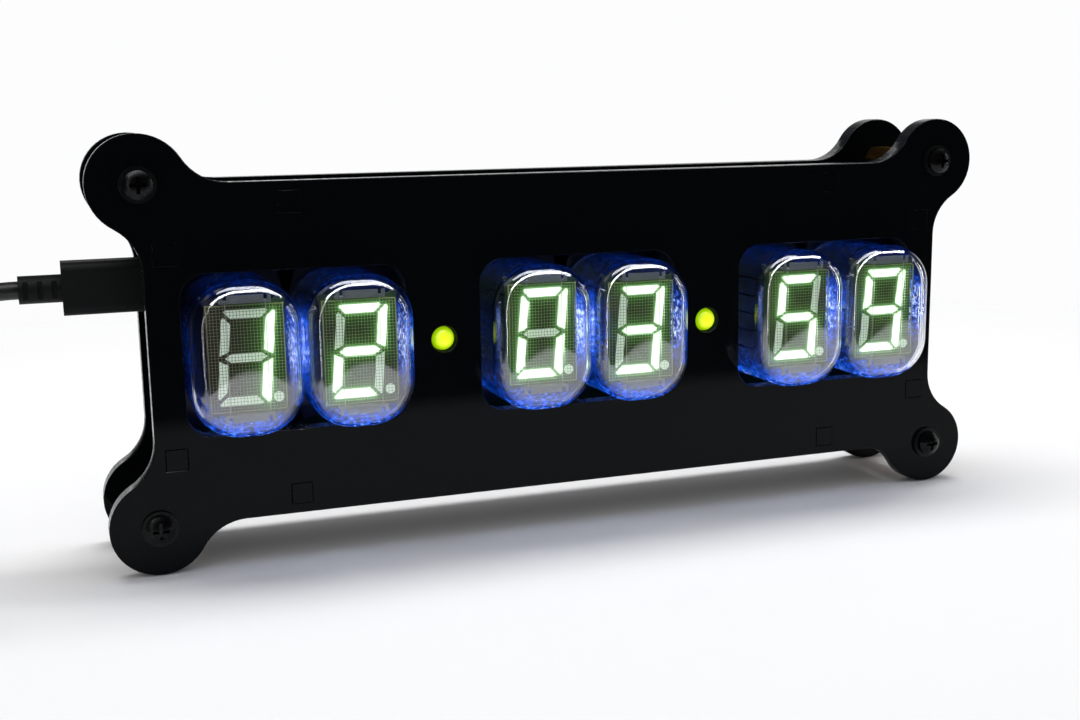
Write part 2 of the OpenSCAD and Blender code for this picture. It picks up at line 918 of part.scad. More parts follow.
module tube_grid(number) {
    open_w = (grid_w - 2 * grid_rim + grid_bar) / grid_columns;
    open_h = (grid_h - 2 * grid_rim + grid_bar) / grid_rows;
    color("#6b6455")
        facing_front(grid_y)
            translate([tube_x[number - 1], rise[number - 1], 0]) {
                for (side = [-1, 1]) {
                    translate([side * (grid_w - grid_rim) / 2 - grid_rim / 2, -grid_h / 2, 0])
                        cube([grid_rim, grid_h, grid_t]);
                    translate([-grid_w / 2, side * (grid_h - grid_rim) / 2 - grid_rim / 2, 0])
                        cube([grid_w, grid_rim, grid_t]);
                }
                for (k = [1:grid_columns - 1])
                    translate([grid_rim - grid_w / 2 + k * open_w - grid_bar, -grid_h / 2, 0])
                        cube([grid_bar, grid_h, grid_t]);
                for (k = [1:grid_rows - 1])
                    translate([-grid_w / 2, grid_rim - grid_h / 2 + k * open_h - grid_bar, 0])
                        cube([grid_w, grid_bar, grid_t]);
                at_corners(grid_w / 2 - grid_rim, grid_h / 2 - grid_rim)
                    translate([0, 0, -grid_gap - segment_t])
                        cube([grid_rim, grid_rim, grid_gap + segment_t + grid_t]);
            }
}

module filaments() {
    color("#c8c2b4")
        facing_front(filament_y)
            in_tubes()
                for (side = [-1, 1])
                    translate([side * filament_pitch / 2, bracket_z, 0])
                        rotate([90, 0, 0])
                            cylinder(r = filament_r, h = 2 * bracket_z, $fn = 8);
}

// the front of a strip that holds the heated wires, with a notch for each wire
module notched_flange() {
    difference() {
        translate([-bracket_w / 2, 0, 0])
            cube([bracket_w, bracket_t + bracket_flange, bracket_t]);
        for (side = [-1, 1])
            translate([(side * filament_pitch - notch_w) / 2, bracket_t, -past])
                cube([notch_w, bracket_flange + past, bracket_t + 2 * past]);
    }
}

module filament_brackets() {
    height = anode_front_y - filament_y + filament_r + bracket_t;
    color("#c9cbc8")
        facing_front(anode_front_y)
            in_tubes()
                for (end = [0, 1])
                    mirror([0, end, 0])
                        translate([0, bracket_z, 0]) {
                            translate([-bracket_w / 2, 0, 0])
                                cube([bracket_w, bracket_t, height]);
                            translate([0, 0, height - bracket_t])
                                notched_flange();
                        }
}

module getters() {
    color("#8f9294")
        facing_back(anode_back_y + getter_wire_r)
            for (x = tube_x)
                translate([x, 0, 0])
                    rotate_extrude()
                        translate([getter_r, 0])
                            circle(getter_wire_r);
}

module tube_leads() {
    color("#9c8f7a")
        facing_front(lead_back_y)
            at_leads()
                cylinder(r = lead_r, h = lead_back_y - anode_back_y);
}

// Colon lamps

module colon_lamp(side) {
    round_y = front_y - lamp_out + lamp_r;
    back_y = front_y - lamp_out + lamp_len;
    color("#c8f000")
        facing_front(back_y)
            translate([side * lamp_x, 0, 0]) {
                cylinder(r = lamp_r, h = back_y - round_y);
                cylinder(r = lamp_collar_r, h = lamp_collar_len);
                translate([0, 0, back_y - round_y])
                    sphere(lamp_r);
            }
}

module lamp_leads() {
    color("#a9abad")
        facing_front(lead_back_y)
            at_lamp_leads()
                cylinder(r = lead_r, h = lead_back_y - (front_y - lamp_out + lamp_len));
}

// Set buttons

module switches() {
    color("#1d1e20")
        facing_back(board_back_y)
            for (x = button_x)
                translate([x, -button_drop, 0])
                    difference() {
                        translate([-switch_w / 2, -switch_w / 2, 0])
                            cube([switch_w, switch_w, switch_h]);
                        translate([0, 0, switch_floor])
                            cylinder(r = button_foot_r + button_play,
                                h = 2 * button_travel + button_foot_t + button_play);
                        translate([0, 0, switch_floor])
                            cylinder(r = button_r + button_play, h = switch_h);
                    }
}

module button(index) {
    foot_y = board_back_y + switch_floor + 2 * button_travel;
    color("#202124")
        facing_back(foot_y)
            translate([button_x[index], -button_drop, 0]) {
                cylinder(r = button_foot_r, h = button_foot_t);
                cylinder(r = button_r, h = rear_y + button_out - foot_y);
            }
}

// Supply socket and plug

// a box along x whose section is centred on the plug's axis
module plug_box(x, len, t, h) {
    translate([x, plug_y - t / 2, plug_z - h / 2])
        cube([len, t, h]);
}

module socket_shell() {
    color("#b4b6b8")
        difference() {
            plug_box(socket_x, socket_len, socket_t, socket_h);
            plug_box(socket_x - past, socket_len - metal_t + past,
                socket_t - 2 * metal_t, socket_h - 2 * metal_t);
        }
}

module socket_tongue() {
    color("#161718")
        plug_box(socket_x + metal_t, socket_len - 2 * metal_t, tongue_t, tongue_h);
}

module plug_shell() {
    color("#b4b6b8")
        difference() {
            plug_box(grip_x, grip_gap + plug_depth, plug_shell_t, plug_shell_h);
            plug_box(grip_x + metal_t, grip_gap + plug_depth + past,
                plug_shell_t - 2 * metal_t, plug_shell_h - 2 * metal_t);
        }
}

module plug_grip() {
    color("#202124")
        translate([grip_end_x, plug_y, plug_z])
            rotate([90, 0, 90])
                linear_extrude(grip_len)
                    round_rectangle(grip_t, grip_h, grip_corner_r);
}

// a strain relief along +z, with slots across two of its sides
module slotted_relief() {
    slot_step = relief_len / relief_slots;
    difference() {
        cylinder(r = relief_r, h = relief_len);
        for (k = [0:relief_slots - 1], side = [0, 1])
            mirror([0, side, 0])
                translate([-relief_r - past, relief_core / 2, (k + 0.5) * slot_step - relief_slot_w / 2])
                    cube([2 * (relief_r + past), relief_r, relief_slot_w]);
    }
}

module strain_relief() {
    color("#202124")
        translate([grip_end_x, plug_y, plug_z])
            rotate([0, -90, 0])
                slotted_relief();
}

// Cord

// direction of a path at point i
function heading(path, i) =
    let (d = path[min(i + 1, len(path) - 1)] - path[max(i - 1, 0)])
    d / norm(d);

// a closed tube of triangles along a path, whose rings turn about the direction given
module swept_tube(path, r, sides, about) {
    count = len(path);
    points = [
        for (i = [0:count - 1])
            let (t = heading(path, i), c = cross(about, t), u = c / norm(c), v = cross(t, u))
            for (k = [0:sides - 1])
                path[i] + r * (cos(360 * k / sides) * u + sin(360 * k / sides) * v)
    ];
    walls = [
        for (i = [0:count - 2], k = [0:sides - 1])
            let (a = i * sides + k, b = i * sides + (k + 1) % sides)
            each [[a, a + sides, b], [b, a + sides, b + sides]]
    ];
    caps = [
        for (k = [1:sides - 2])
            each [[0, k, k + 1],
                [(count - 1) * sides, (count - 1) * sides + k + 1, (count - 1) * sides + k]]
    ];
    polyhedron(points, concat(walls, caps));
}

module cord_lead() {
    color("#1a1b1d")
        swept_tube(lead_points, cord_r, 8, [0, 1, 0]);
}

// height of the coil after t turns: it goes down a layer in the half turn where it turns back
function coil_height(t) =
    coil_high_z - coil_pitch * min(1, max(0, 2 * (t - coil_turns / 2) + 0.5));

// a point of the coil after t turns
function coil_point(t) =
    let (r = coil_inner_r + coil_pitch * abs(t - coil_turns / 2), angle = 90 + 360 * t)
    [coil_x + r * cos(angle), coil_y + r * sin(angle), coil_height(t)];

coil_rings = 24 * coil_turns;
coil_path = concat(
    [for (i = [0:coil_rings]) coil_point(i / 24)],
    [for (d = [cord_r, coil_tail]) [coil_x + d, far_plug_y, coil_low_z]]
);

// least distance between points of the coil that are half a turn or more apart along it
coil_least = min([
    for (i = [0:coil_rings - 12], k = [i + 12:coil_rings]) norm(coil_path[k] - coil_path[i])
]);
echo(coil_least_gap = coil_least - 2 * cord_r);

function path_length(path, i = 1) =
    i >= len(path) ? 0 : norm(path[i] - path[i - 1]) + path_length(path, i + 1);
echo(cord_length = path_length(lead_points) + path_length(coil_path));

module cord_coil() {
    color("#1a1b1d")
        swept_tube(coil_path, cord_r, 6, [0, 0, 1]);
}

module coil_ties() {
    inner = coil_inner_r - cord_r - tie_gap;
    outer = coil_outer_r + cord_r + tie_gap;
    top = coil_high_z + cord_r + tie_gap;
    color("#2a2b2e")
        for (turn = [0, 180])
            translate([coil_x, coil_y, 0])
                rotate([0, 0, turn])
                    difference() {
                        translate([inner - tie_t, -tie_w / 2, 0])
                            cube([outer - inner + 2 * tie_t, tie_w, top + tie_t]);
                        translate([inner, -tie_w / 2 - past, tie_t])
                            cube([outer - inner, tie_w + 2 * past, top - tie_t]);
                    }
}

// a box along x from the far plug's axis
module far_box(x, len, w, t) {
    translate([x, far_plug_y - w / 2, coil_low_z - t / 2])
        cube([len, w, t]);
}

module far_plug_grip() {
    color("#202124") {
        translate([far_grip_x, far_plug_y, coil_low_z])
            rotate([0, -90, 0])
                slotted_relief();
        translate([far_grip_x, far_plug_y, coil_low_z])
            rotate([90, 0, 90])
                linear_extrude(far_grip_len)
                    round_rectangle(far_grip_w, far_grip_t, far_grip_corner_r);
        far_box(far_shell_x, far_shell_len - metal_t,
            far_shell_w - 2 * metal_t - 2 * plug_play, far_tongue_t);
    }
}

module far_plug_shell() {
    color("#b4b6b8")
        difference() {
            far_box(far_shell_x, far_shell_len, far_shell_w, far_shell_t);
            far_box(far_shell_x - past, far_shell_len + 2 * past,
                far_shell_w - 2 * metal_t, far_shell_t - 2 * metal_t);
        }
}

// Nodes

front_plate();
rear_plate();
top_wall();
bottom_wall();
left_wall();
right_wall();
standoffs();
front_screws();
front_washers();
rear_screws();
rear_washers();
main_board();
board_spacers();
board_screws();
board_nuts();
tube_glass(1);  // tube_1_glass
tube_glass(2);  // tube_2_glass
tube_glass(3);  // tube_3_glass
tube_glass(4);  // tube_4_glass
tube_glass(5);  // tube_5_glass
tube_glass(6);  // tube_6_glass
tube_grid(1);  // tube_1_grid
tube_grid(2);  // tube_2_grid
tube_grid(3);  // tube_3_grid
tube_grid(4);  // tube_4_grid
tube_grid(5);  // tube_5_grid
tube_grid(6);  // tube_6_grid
tube_bases();
anode_plates();
lit_segments();
dark_segments();
filaments();
filament_brackets();
getters();
tube_leads();
colon_lamp(-1);  // colon_lamp_left
colon_lamp(1);  // colon_lamp_right
lamp_leads();
backlights();
chips();
crystal();
cell_holder();
coin_cell();
choke();
capacitors();
switches();
button(0);  // button_left
button(1);  // button_middle
button(2);  // button_right
socket_shell();
socket_tongue();
plug_shell();
plug_grip();
strain_relief();
cord_lead();
cord_coil();
coil_ties();
far_plug_grip();
far_plug_shell();
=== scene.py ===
"""Looks of a desk clock with six vacuum fluorescent tubes in a gloss black acrylic case.

Sizes in capitals are in millimetres unless their name or comment says otherwise, and the scene
is in metres. The front faces -Y, and the origin is on the table under the middle of the case.
"""

import math

import bmesh
import bpy
from mathutils import Matrix, Vector, noise
from mathutils.bvhtree import BVHTree


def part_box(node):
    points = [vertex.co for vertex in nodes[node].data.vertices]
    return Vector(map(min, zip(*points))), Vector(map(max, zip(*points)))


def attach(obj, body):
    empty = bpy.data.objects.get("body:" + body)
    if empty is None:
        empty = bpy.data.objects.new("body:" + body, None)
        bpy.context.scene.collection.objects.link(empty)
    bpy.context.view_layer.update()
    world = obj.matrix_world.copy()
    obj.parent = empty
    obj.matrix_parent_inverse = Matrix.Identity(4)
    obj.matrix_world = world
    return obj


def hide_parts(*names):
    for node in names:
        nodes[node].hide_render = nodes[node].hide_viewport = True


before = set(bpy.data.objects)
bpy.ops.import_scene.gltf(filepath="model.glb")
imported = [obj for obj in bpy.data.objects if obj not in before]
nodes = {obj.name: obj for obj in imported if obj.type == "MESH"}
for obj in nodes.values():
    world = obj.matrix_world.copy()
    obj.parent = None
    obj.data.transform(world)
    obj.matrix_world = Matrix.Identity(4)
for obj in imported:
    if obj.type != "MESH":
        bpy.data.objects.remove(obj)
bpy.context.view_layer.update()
scene = bpy.context.scene
scene.view_settings.view_transform = "Standard"

MM = 0.001
TUBES = range(1, 7)

# Camera

CAMERA_PLACE = (-105.03, -272.83, 87.46)
CAMERA_PAN_DEGREES = 19.985
CAMERA_TILT_DEGREES = -10.242
CAMERA_ROLL_DEGREES = -0.882
CAMERA_NEAREST = 10
SENSOR_WIDTH = 36
FOCAL_LENGTH = 44.98

# Supply cord, whose route repeats the one of the solids

CORD_RADIUS = 1.8
CORD_ROUNDNESS = 3
CORD_STEPS = 3
LEAD_POINTS = [
    (-113.5, 6, 55.7), (-117.5, 6.2, 55.3), (-121, 6.7, 54.4), (-125, 7.6, 53),
    (-128.5, 8.6, 51.1), (-131.8, 9.7, 48.7), (-134.6, 11, 46), (-137.2, 12.5, 42.8),
    (-139.2, 14.1, 39.4), (-140.8, 15.8, 35.6), (-142, 17.4, 31.8), (-143.3, 19.2, 28),
    (-144.9, 20.9, 24.2), (-146.9, 22.5, 20.6), (-149.5, 24.1, 17.4), (-152.4, 25.5, 14.7),
    (-155.8, 26.8, 12.3), (-159.5, 27.8, 10.3), (-163.2, 28.5, 8.9), (-166.6, 28.8, 8),
]
COIL_X = -172
COIL_Y = 0
COIL_TURNS = 6.5
COIL_INNER_RADIUS = 15.2
COIL_PITCH = 4.2
COIL_LOW_Z = 3.3
COIL_TAIL = 12
COIL_POINTS_PER_TURN = 24

# Case

WELD_GAP = 0.001
BROKEN_EDGE = 0.15
BROKEN_EDGE_DEGREES = 60
RIB_WIDTH = 0.5
DUST_SIZE = 9
COLON_GLOW_DEPTH = 2.5

# Bulbs

GLASS = 1.0
BULB_CORNER_RADIUS = 9.0
BULB_EDGE_RADIUS = 5.0
# How far a bulb's front bulges, and how far above its middle it does so most
BULB_CROWN = 1.7
BULB_CROWN_RISE = 3.5
BULB_RIPPLE = 0.05
BULB_RIPPLE_LENGTH = 7.0
SEAL_GAP = 0.02
CORNER_STEPS = 10
SIDE_STEPS = 6
WALL_STEPS = 12
EDGE_STEPS = 10
CROWN_RING_SHARES = (0.93, 0.84, 0.72, 0.58, 0.43, 0.28, 0.14, 0.04)

# Painted glow that stands in for the light of the blue lamps in the bulbs' glass and in the bases,
# as shares of full brightness, where a start is a share of the bulb's half width or half height

WALL_GLOW_START = 0.6
WALL_SPOT_UP = 5.5
WALL_SPOT_Z = 1.0
WALL_SPOT_REACH = 6.0
WALL_SPOT_SHARE = 0.75
# The left wall of a pair's left tube faces away from the pair's lamps, so its painted glow stays
# nearly dark.
LEFT_WALL_SHARES = (0.06, 0.3, 0.02, 0.9, 0.008, 0.4)
END_GLOW_START = 0.72
FOOT_GLOW_SHARE = 0.22
HEAD_GLOW_SHARE = 0.028
FOOT_CORNER_SHARE = 0.3
FOOT_CORNER_POWER = 3
BASE_GLOW_ACROSS = 9.0
BASE_GLOW_UP = 9.0
BASE_GLOW_DROP = 4.0
BASE_GLOW_SHARE = 0.2
BASE_SPOT_RADIUS = 2.2
# Places of the painted blue glow's tones on a scale of brightness from 0, which is black, to 1
BLUE_TONES = ((0.1, "#021e66"), (0.3, "#0446c8"), (0.6, "#2a7cf8"))
BRIGHTEST_BLUE = "#f0f8ff"

# Plates and grids

PLATE_STEP = 0.4
PLATE_WIDTH = 14.6
PLATE_HEIGHT = 22.0
PLATE_CORNER_RADIUS = 2.2
# How far the painted green glow round the lit segments reaches
HALO_REACH = 2.0
# The real mesh is too fine to show, so it is drawn a little coarse.
GRID_WIRE_RADIUS = 0.042
GRID_WIRE_SIDES = 4
GRID_WIRE_PITCH = 0.62
GRID_RIM = 0.3
GRID_RIM_THICKNESS = 0.12

# Studio

FLOOR_HALF = 1500
FLOOR_DROP = 0.1
FLOOR_FRONT_END = -128
FLOOR_FRONT_FADE = 32
FLOOR_LEFT_END = -205
FLOOR_LEFT_FADE = 40
FLOOR_FAR_END = 480
FLOOR_FAR_FADE = 310
AMBIENT = 0.5
# Bright parts of the room: the axis of a direction, where along it the part starts and is full,
# and how bright the rest is
ROOM_PARTS = {
    "behind": ("Y", 0.45, 0.7, 0.02),
    "low_down": ("Z", 0.55, 0.3, 0.05),
    "not_left": ("X", -0.7, -0.4, 0.02),
}
GLOSS_TARGET = (0, -15, 50)
# Name, place, target, size, power in watts, and whether gloss mirrors the lamp or it lights the
# dull surfaces
LAMPS = [
    ("top_lamp", (40, 165, 800), (20, 0, 0), (900, 280), 5.4, False),
    ("top_strip", (40, -130, 640), GLOSS_TARGET, (1400, 70), 4.6, True),
    ("right_strip", (620, -130, 120), GLOSS_TARGET, (14, 420), 0.4, True),
    ("left_strip", (-550, -385, 150), GLOSS_TARGET, (14, 900), 0.6, True),
]


def metres(point):
    return Vector(point) * MM


def middle(low, high):
    return (low + high) / 2


def linear(code):
    """An sRGB hex colour as the linear red, green, blue and alpha that Blender's sockets take."""
    parts = [int(code[i:i + 2], 16) / 255 for i in (1, 3, 5)]
    return [c / 12.92 if c <= 0.04045 else ((c + 0.055) / 1.055) ** 2.4 for c in parts] + [1.0]


def add(tree, kind, settings=None, inputs=None):
    """A new node with its settings, and for each input a value or the output that feeds it."""
    made = tree.nodes.new(kind)
    for name, value in (settings or {}).items():
        setattr(made, name, value)
    for name, value in (inputs or {}).items():
        if isinstance(value, bpy.types.NodeSocket):
            tree.links.new(value, made.inputs[name])
        else:
            made.inputs[name].default_value = value
    return made


def new_piece(name, mesh, body, material):
    """A piece at the origin, with its place in its mesh, that rides on a body."""
    mesh.materials.clear()
    mesh.materials.append(material)
    piece = bpy.data.objects.new(name, mesh)
    scene.collection.objects.link(piece)
    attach(piece, body)
    return piece


def mesh_of(name, vertices, faces, smooth):
    """A closed mesh with its faces turned outwards."""
    mesh = bpy.data.meshes.new(name)
    mesh.from_pydata(vertices, [], faces)
    work = bmesh.new()
    work.from_mesh(mesh)
    bmesh.ops.recalc_face_normals(work, faces=work.faces)
    work.to_mesh(mesh)
    work.free()
    mesh.polygons.foreach_set("use_smooth", [smooth] * len(mesh.polygons))
    return mesh


def keep_glow(mesh, glows):
    """Stores how bright each vertex's painted glow is, for the materials that carry it."""
    mesh.attributes.new("glow", "FLOAT", "POINT").data.foreach_set("value", glows)


# Materials

def started(name, values):
    """A new material, its node tree and its shader with these values."""
    material = bpy.data.materials.new(name)
    material.use_nodes = True
    tree = material.node_tree
    shader = tree.nodes["Principled BSDF"]
    for socket, value in values.items():
        shader.inputs[socket].default_value = value
    return material, tree, shader


def mottled(name, dark, pale, rough, grain, values=None, stretch=(1, 1, 1), bump=0.0):
    """A surface whose colour and roughness wander over lumps of about grain millimetres."""
    material, tree, shader = started(name, values or {})
    place = add(tree, "ShaderNodeTexCoord")
    turned = add(tree, "ShaderNodeMapping", None,
        {"Vector": place.outputs["Object"], "Scale": stretch})
    lumps = add(tree, "ShaderNodeTexNoise", None,
        {"Vector": turned.outputs["Vector"], "Scale": 1 / (grain * MM), "Detail": 3.0})
    tone = add(tree, "ShaderNodeMix", {"data_type": "RGBA"},
        {"Factor": lumps.outputs["Fac"], "A": linear(dark), "B": linear(pale)})
    shine = add(tree, "ShaderNodeMapRange", None, {"Value": lumps.outputs["Fac"],
        "From Min": 0.3, "From Max": 0.7, "To Min": rough[0], "To Max": rough[1]})
    tree.links.new(tone.outputs["Result"], shader.inputs["Base Color"])
    tree.links.new(shine.outputs["Result"], shader.inputs["Roughness"])
    if bump:
        raised = add(tree, "ShaderNodeBump", None,
            {"Height": lumps.outputs["Fac"], "Strength": 0.6, "Distance": bump * MM})
        tree.links.new(raised.outputs["Normal"], shader.inputs["Normal"])
    return material


def painted_blue_glow(tree, grain, low, high):
    """Painted blue lamp light for glass, from navy to blue-white by the glow attribute.

    It comes in painted flecks of grain millimetres, high times as bright as the attribute says, and
    is low times as bright between them.
    """
    place = add(tree, "ShaderNodeTexCoord")
    near = add(tree, "ShaderNodeAttribute", {"attribute_name": "glow"})
    flecks = add(tree, "ShaderNodeTexNoise", None, {"Vector": place.outputs["Object"],
        "Scale": 1 / (grain * MM), "Detail": 3.0, "Roughness": 0.65})
    sharp = add(tree, "ShaderNodeMapRange", None, {"Value": flecks.outputs["Fac"],
        "From Min": 0.51, "From Max": 0.68, "To Min": low, "To Max": high})
    level = add(tree, "ShaderNodeMath", {"operation": "MULTIPLY"},
        {0: sharp.outputs["Result"], 1: near.outputs["Fac"]})
    ramp = add(tree, "ShaderNodeValToRGB", None, {"Fac": level.outputs["Value"]})
    ramp.color_ramp.elements[0].color = linear("#000000")
    ramp.color_ramp.elements[1].color = linear(BRIGHTEST_BLUE)
    for at, code in BLUE_TONES:
        ramp.color_ramp.elements.new(at).color = linear(code)
    return ramp.outputs["Color"]


def clear_glass():
    """Blown soda glass: clear and sharp, with painted blue lamp light in its walls and its round
    edges.

    The coat adds the second sheen that thick glass has.
    """
    material, tree, shader = started("blown_glass", {"Base Color": linear("#f4f8ff"),
        "Roughness": 0.0, "IOR": 1.52, "Transmission Weight": 1.0, "Coat Weight": 1.0,
        "Coat IOR": 1.65, "Coat Roughness": 0.0, "Emission Strength": 1.0})
    tree.links.new(painted_blue_glow(tree, grain=1.1, low=0.2, high=4.5), shader.inputs["Emission Color"])
    path = add(tree, "ShaderNodeLightPath")
    open_air = add(tree, "ShaderNodeBsdfTransparent")
    either = add(tree, "ShaderNodeMixShader", None, {0: path.outputs["Is Shadow Ray"],
        1: shader.outputs["BSDF"], 2: open_air.outputs["BSDF"]})
    tree.links.new(either.outputs["Shader"], tree.nodes["Material Output"].inputs["Surface"])
    return material


def seal_glass():
    """Pressed glass of the tubes' bases: clouded and dark, with faint painted blue flecks of the
    lamp's light.
    """
    material, tree, shader = started("pressed_seal_glass",
        {"Base Color": linear("#050a22"), "Roughness": 0.3, "Emission Strength": 0.07})
    tree.links.new(painted_blue_glow(tree, grain=1.6, low=0.1, high=1.2), shader.inputs["Emission Color"])
    return material


def painted_glow_surface(name, dark, pale, rough, grain, halo_strength, core_strength, values=None):
    """A mottled surface with a painted green glow where its glow attribute says that light is near.
    """
    material = mottled(name, dark, pale, rough, grain, values)
    tree = material.node_tree
    shader = tree.nodes["Principled BSDF"]
    near = add(tree, "ShaderNodeAttribute", {"attribute_name": "glow"})
    core = add(tree, "ShaderNodeMath", {"operation": "POWER"}, {0: near.outputs["Fac"], 1: 8.0})
    level = add(tree, "ShaderNodeMapRange", None,
        {"Value": core.outputs["Value"], "To Min": halo_strength, "To Max": core_strength})
    share = add(tree, "ShaderNodeMath", {"operation": "MULTIPLY"},
        {0: level.outputs["Result"], 1: near.outputs["Fac"]})
    tone = add(tree, "ShaderNodeMix", {"data_type": "RGBA"},
        {"Factor": core.outputs["Value"], "A": linear("#6fe04a"), "B": linear("#e2ffd4")})
    tree.links.new(tone.outputs["Result"], shader.inputs["Emission Color"])
    tree.links.new(share.outputs["Value"], shader.inputs["Emission Strength"])
    return material


def phosphor_lit():
    """Zinc oxide phosphor at full drive: a green-white that washes out, a little uneven."""
    material, tree, shader = started("phosphor_lit",
        {"Base Color": linear("#d8e6cc"), "Roughness": 0.9, "Emission Strength": 1.7})
    place = add(tree, "ShaderNodeTexCoord")
    cloud = add(tree, "ShaderNodeTexNoise", None,
        {"Vector": place.outputs["Object"], "Scale": 1 / (1.2 * MM), "Detail": 2.0})
    tone = add(tree, "ShaderNodeMix", {"data_type": "RGBA"},
        {"Factor": cloud.outputs["Fac"], "A": linear("#dcffcb"), "B": linear("#f2ffe9")})
    tree.links.new(tone.outputs["Result"], shader.inputs["Emission Color"])
    return material


def colon_epoxy():
    """Diffused epoxy of a lit lamp: yellow-green, greener towards its rim and a little cloudy."""
    material, tree, shader = started("lit_lamp_epoxy",
        {"Base Color": linear("#4c6400"), "Roughness": 0.35})
    sheet_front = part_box("front_plate")[0].y
    place = add(tree, "ShaderNodeTexCoord")
    depth = add(tree, "ShaderNodeSeparateXYZ", None, {"Vector": place.outputs["Object"]})
    shown = add(tree, "ShaderNodeMapRange", None, {"Value": depth.outputs["Y"],
        "From Min": sheet_front, "From Max": sheet_front + COLON_GLOW_DEPTH * MM,
        "To Min": 1.0, "To Max": 0.04})
    tree.links.new(shown.outputs["Result"], shader.inputs["Emission Strength"])
    facing = add(tree, "ShaderNodeSeparateXYZ", None, {"Vector": place.outputs["Normal"]})
    cloud = add(tree, "ShaderNodeTexNoise", None,
        {"Vector": place.outputs["Object"], "Scale": 1 / (1.5 * MM), "Detail": 2.0})
    wander = add(tree, "ShaderNodeMath", {"operation": "MULTIPLY_ADD"},
        {0: cloud.outputs["Fac"], 1: 0.3, 2: facing.outputs["Y"]})
    ramp = add(tree, "ShaderNodeMapRange", {"interpolation_type": "SMOOTHSTEP"},
        {"Value": wander.outputs["Value"], "From Min": -0.85, "From Max": -0.35})
    tone = add(tree, "ShaderNodeMix", {"data_type": "RGBA"},
        {"Factor": ramp.outputs["Result"], "A": linear("#f6fb22"), "B": linear("#a8dc00")})
    tree.links.new(tone.outputs["Result"], shader.inputs["Emission Color"])
    return material


def cast_acrylic():
    """Gloss black cast acrylic: mirror faces with a breath of dust, and laser-cut ribbed edges.

    The ribs are drawn coarse so that they show.
    """
    material, tree, shader = started("black_cast_acrylic",
        {"Specular IOR Level": 0.09, "IOR": 1.49})
    place = add(tree, "ShaderNodeTexCoord")
    facing = add(tree, "ShaderNodeSeparateXYZ", None, {"Vector": place.outputs["Normal"]})
    flat = add(tree, "ShaderNodeMath", {"operation": "ABSOLUTE"}, {0: facing.outputs["Y"]})
    edge = add(tree, "ShaderNodeMapRange", None,
        {"Value": flat.outputs["Value"], "From Min": 0.9, "From Max": 0.6})
    ribs_place = add(tree, "ShaderNodeMapping", None,
        {"Vector": place.outputs["Object"], "Scale": (1, 0.03, 1)})
    ribs = add(tree, "ShaderNodeTexNoise", None,
        {"Vector": ribs_place.outputs["Vector"], "Scale": 1 / (RIB_WIDTH * MM), "Detail": 1.0})
    dust = add(tree, "ShaderNodeTexNoise", None,
        {"Vector": place.outputs["Object"], "Scale": 1 / (DUST_SIZE * MM), "Detail": 5.0})
    face_rough = add(tree, "ShaderNodeMapRange", None, {"Value": dust.outputs["Fac"],
        "From Min": 0.35, "From Max": 0.7, "To Min": 0.02, "To Max": 0.06})
    edge_rough = add(tree, "ShaderNodeMapRange", None, {"Value": ribs.outputs["Fac"],
        "From Min": 0.3, "From Max": 0.7, "To Min": 0.12, "To Max": 0.3})
    rough = add(tree, "ShaderNodeMix", None, {"Factor": edge.outputs["Result"],
        "A": face_rough.outputs["Result"], "B": edge_rough.outputs["Result"]})
    tone = add(tree, "ShaderNodeMix", {"data_type": "RGBA"},
        {"Factor": edge.outputs["Result"], "A": linear("#07090b"), "B": linear("#191b1e")})
    tree.links.new(rough.outputs["Result"], shader.inputs["Roughness"])
    tree.links.new(tone.outputs["Result"], shader.inputs["Base Color"])
    return material


def blue_lamp():
    """Resin of the lamp behind each tube: a white body with a blue-white lit face."""
    material, tree, shader = started("blue_lamp_resin",
        {"Base Color": linear("#dfe6f2"), "Roughness": 0.4, "Emission Strength": 8.0})
    place = add(tree, "ShaderNodeTexCoord")
    cloud = add(tree, "ShaderNodeTexNoise", None,
        {"Vector": place.outputs["Object"], "Scale": 1 / (1.5 * MM)})
    tone = add(tree, "ShaderNodeMix", {"data_type": "RGBA"},
        {"Factor": cloud.outputs["Fac"], "A": linear("#1030ff"), "B": linear("#5a8cff")})
    tree.links.new(tone.outputs["Result"], shader.inputs["Emission Color"])
    return material


acrylic = cast_acrylic()
glass = clear_glass()
seal = seal_glass()
# Etched steel of the grids: a fine brown-grey mesh with a painted green glow round the lit
# segments.
grid_steel = painted_glow_surface("etched_grid_steel", "#7a744c", "#98906a", (0.45, 0.65), 1.5,
    halo_strength=0.4, core_strength=1.6, values={"Metallic": 0.2})
# Fired enamel of the digits' plates: brown-black and dull, with a painted green halo round the lit
# segments.
plate_enamel = painted_glow_surface("dark_plate_enamel", "#0e0a07", "#1d1610", (0.5, 0.75), 0.8,
    halo_strength=0.12, core_strength=0.9)
lit_phosphor = phosphor_lit()
# Unlit phosphor: a chalky grey-green powder coat, with a faint painted glow for the light of the
# segments beside it.
dull_phosphor = mottled("phosphor_unlit", "#dce4d0", "#f4f8ea", (0.85, 0.95), 0.5,
    {"Emission Color": linear("#c8dcc0"), "Emission Strength": 0.46})
lamp_epoxy = colon_epoxy()
lamp_blue = blue_lamp()
# Turned brass: warm, with rings of fine tool marks round each bar.
brass = mottled("turned_brass", "#8f6a2c", "#c69c55", (0.22, 0.38), 0.6, {"Metallic": 1.0},
    stretch=(1, 4, 1))
# Black zinc on steel: nearly black, with a soft oily sheen.
black_steel = mottled("black_zinc_steel", "#08090a", "#121416", (0.24, 0.3), 2.0, {"Metallic": 0.7})
# Moulded black nylon: dull, with a faint grain.
black_nylon = mottled("black_nylon", "#060708", "#0e1012", (0.35, 0.55), 0.5,
    {"Specular IOR Level": 0.2}, bump=0.01)
# Natural nylon: milky white and waxy.
white_nylon = mottled("white_nylon", "#c9c8c1", "#deddd6", (0.4, 0.55), 2.0)
# Nickel plate on steel: bright and grey, softly blurred.
nickel = mottled("bright_nickel_plate", "#aaaca8", "#c2c4c0", (0.26, 0.32), 5.0, {"Metallic": 1.0})
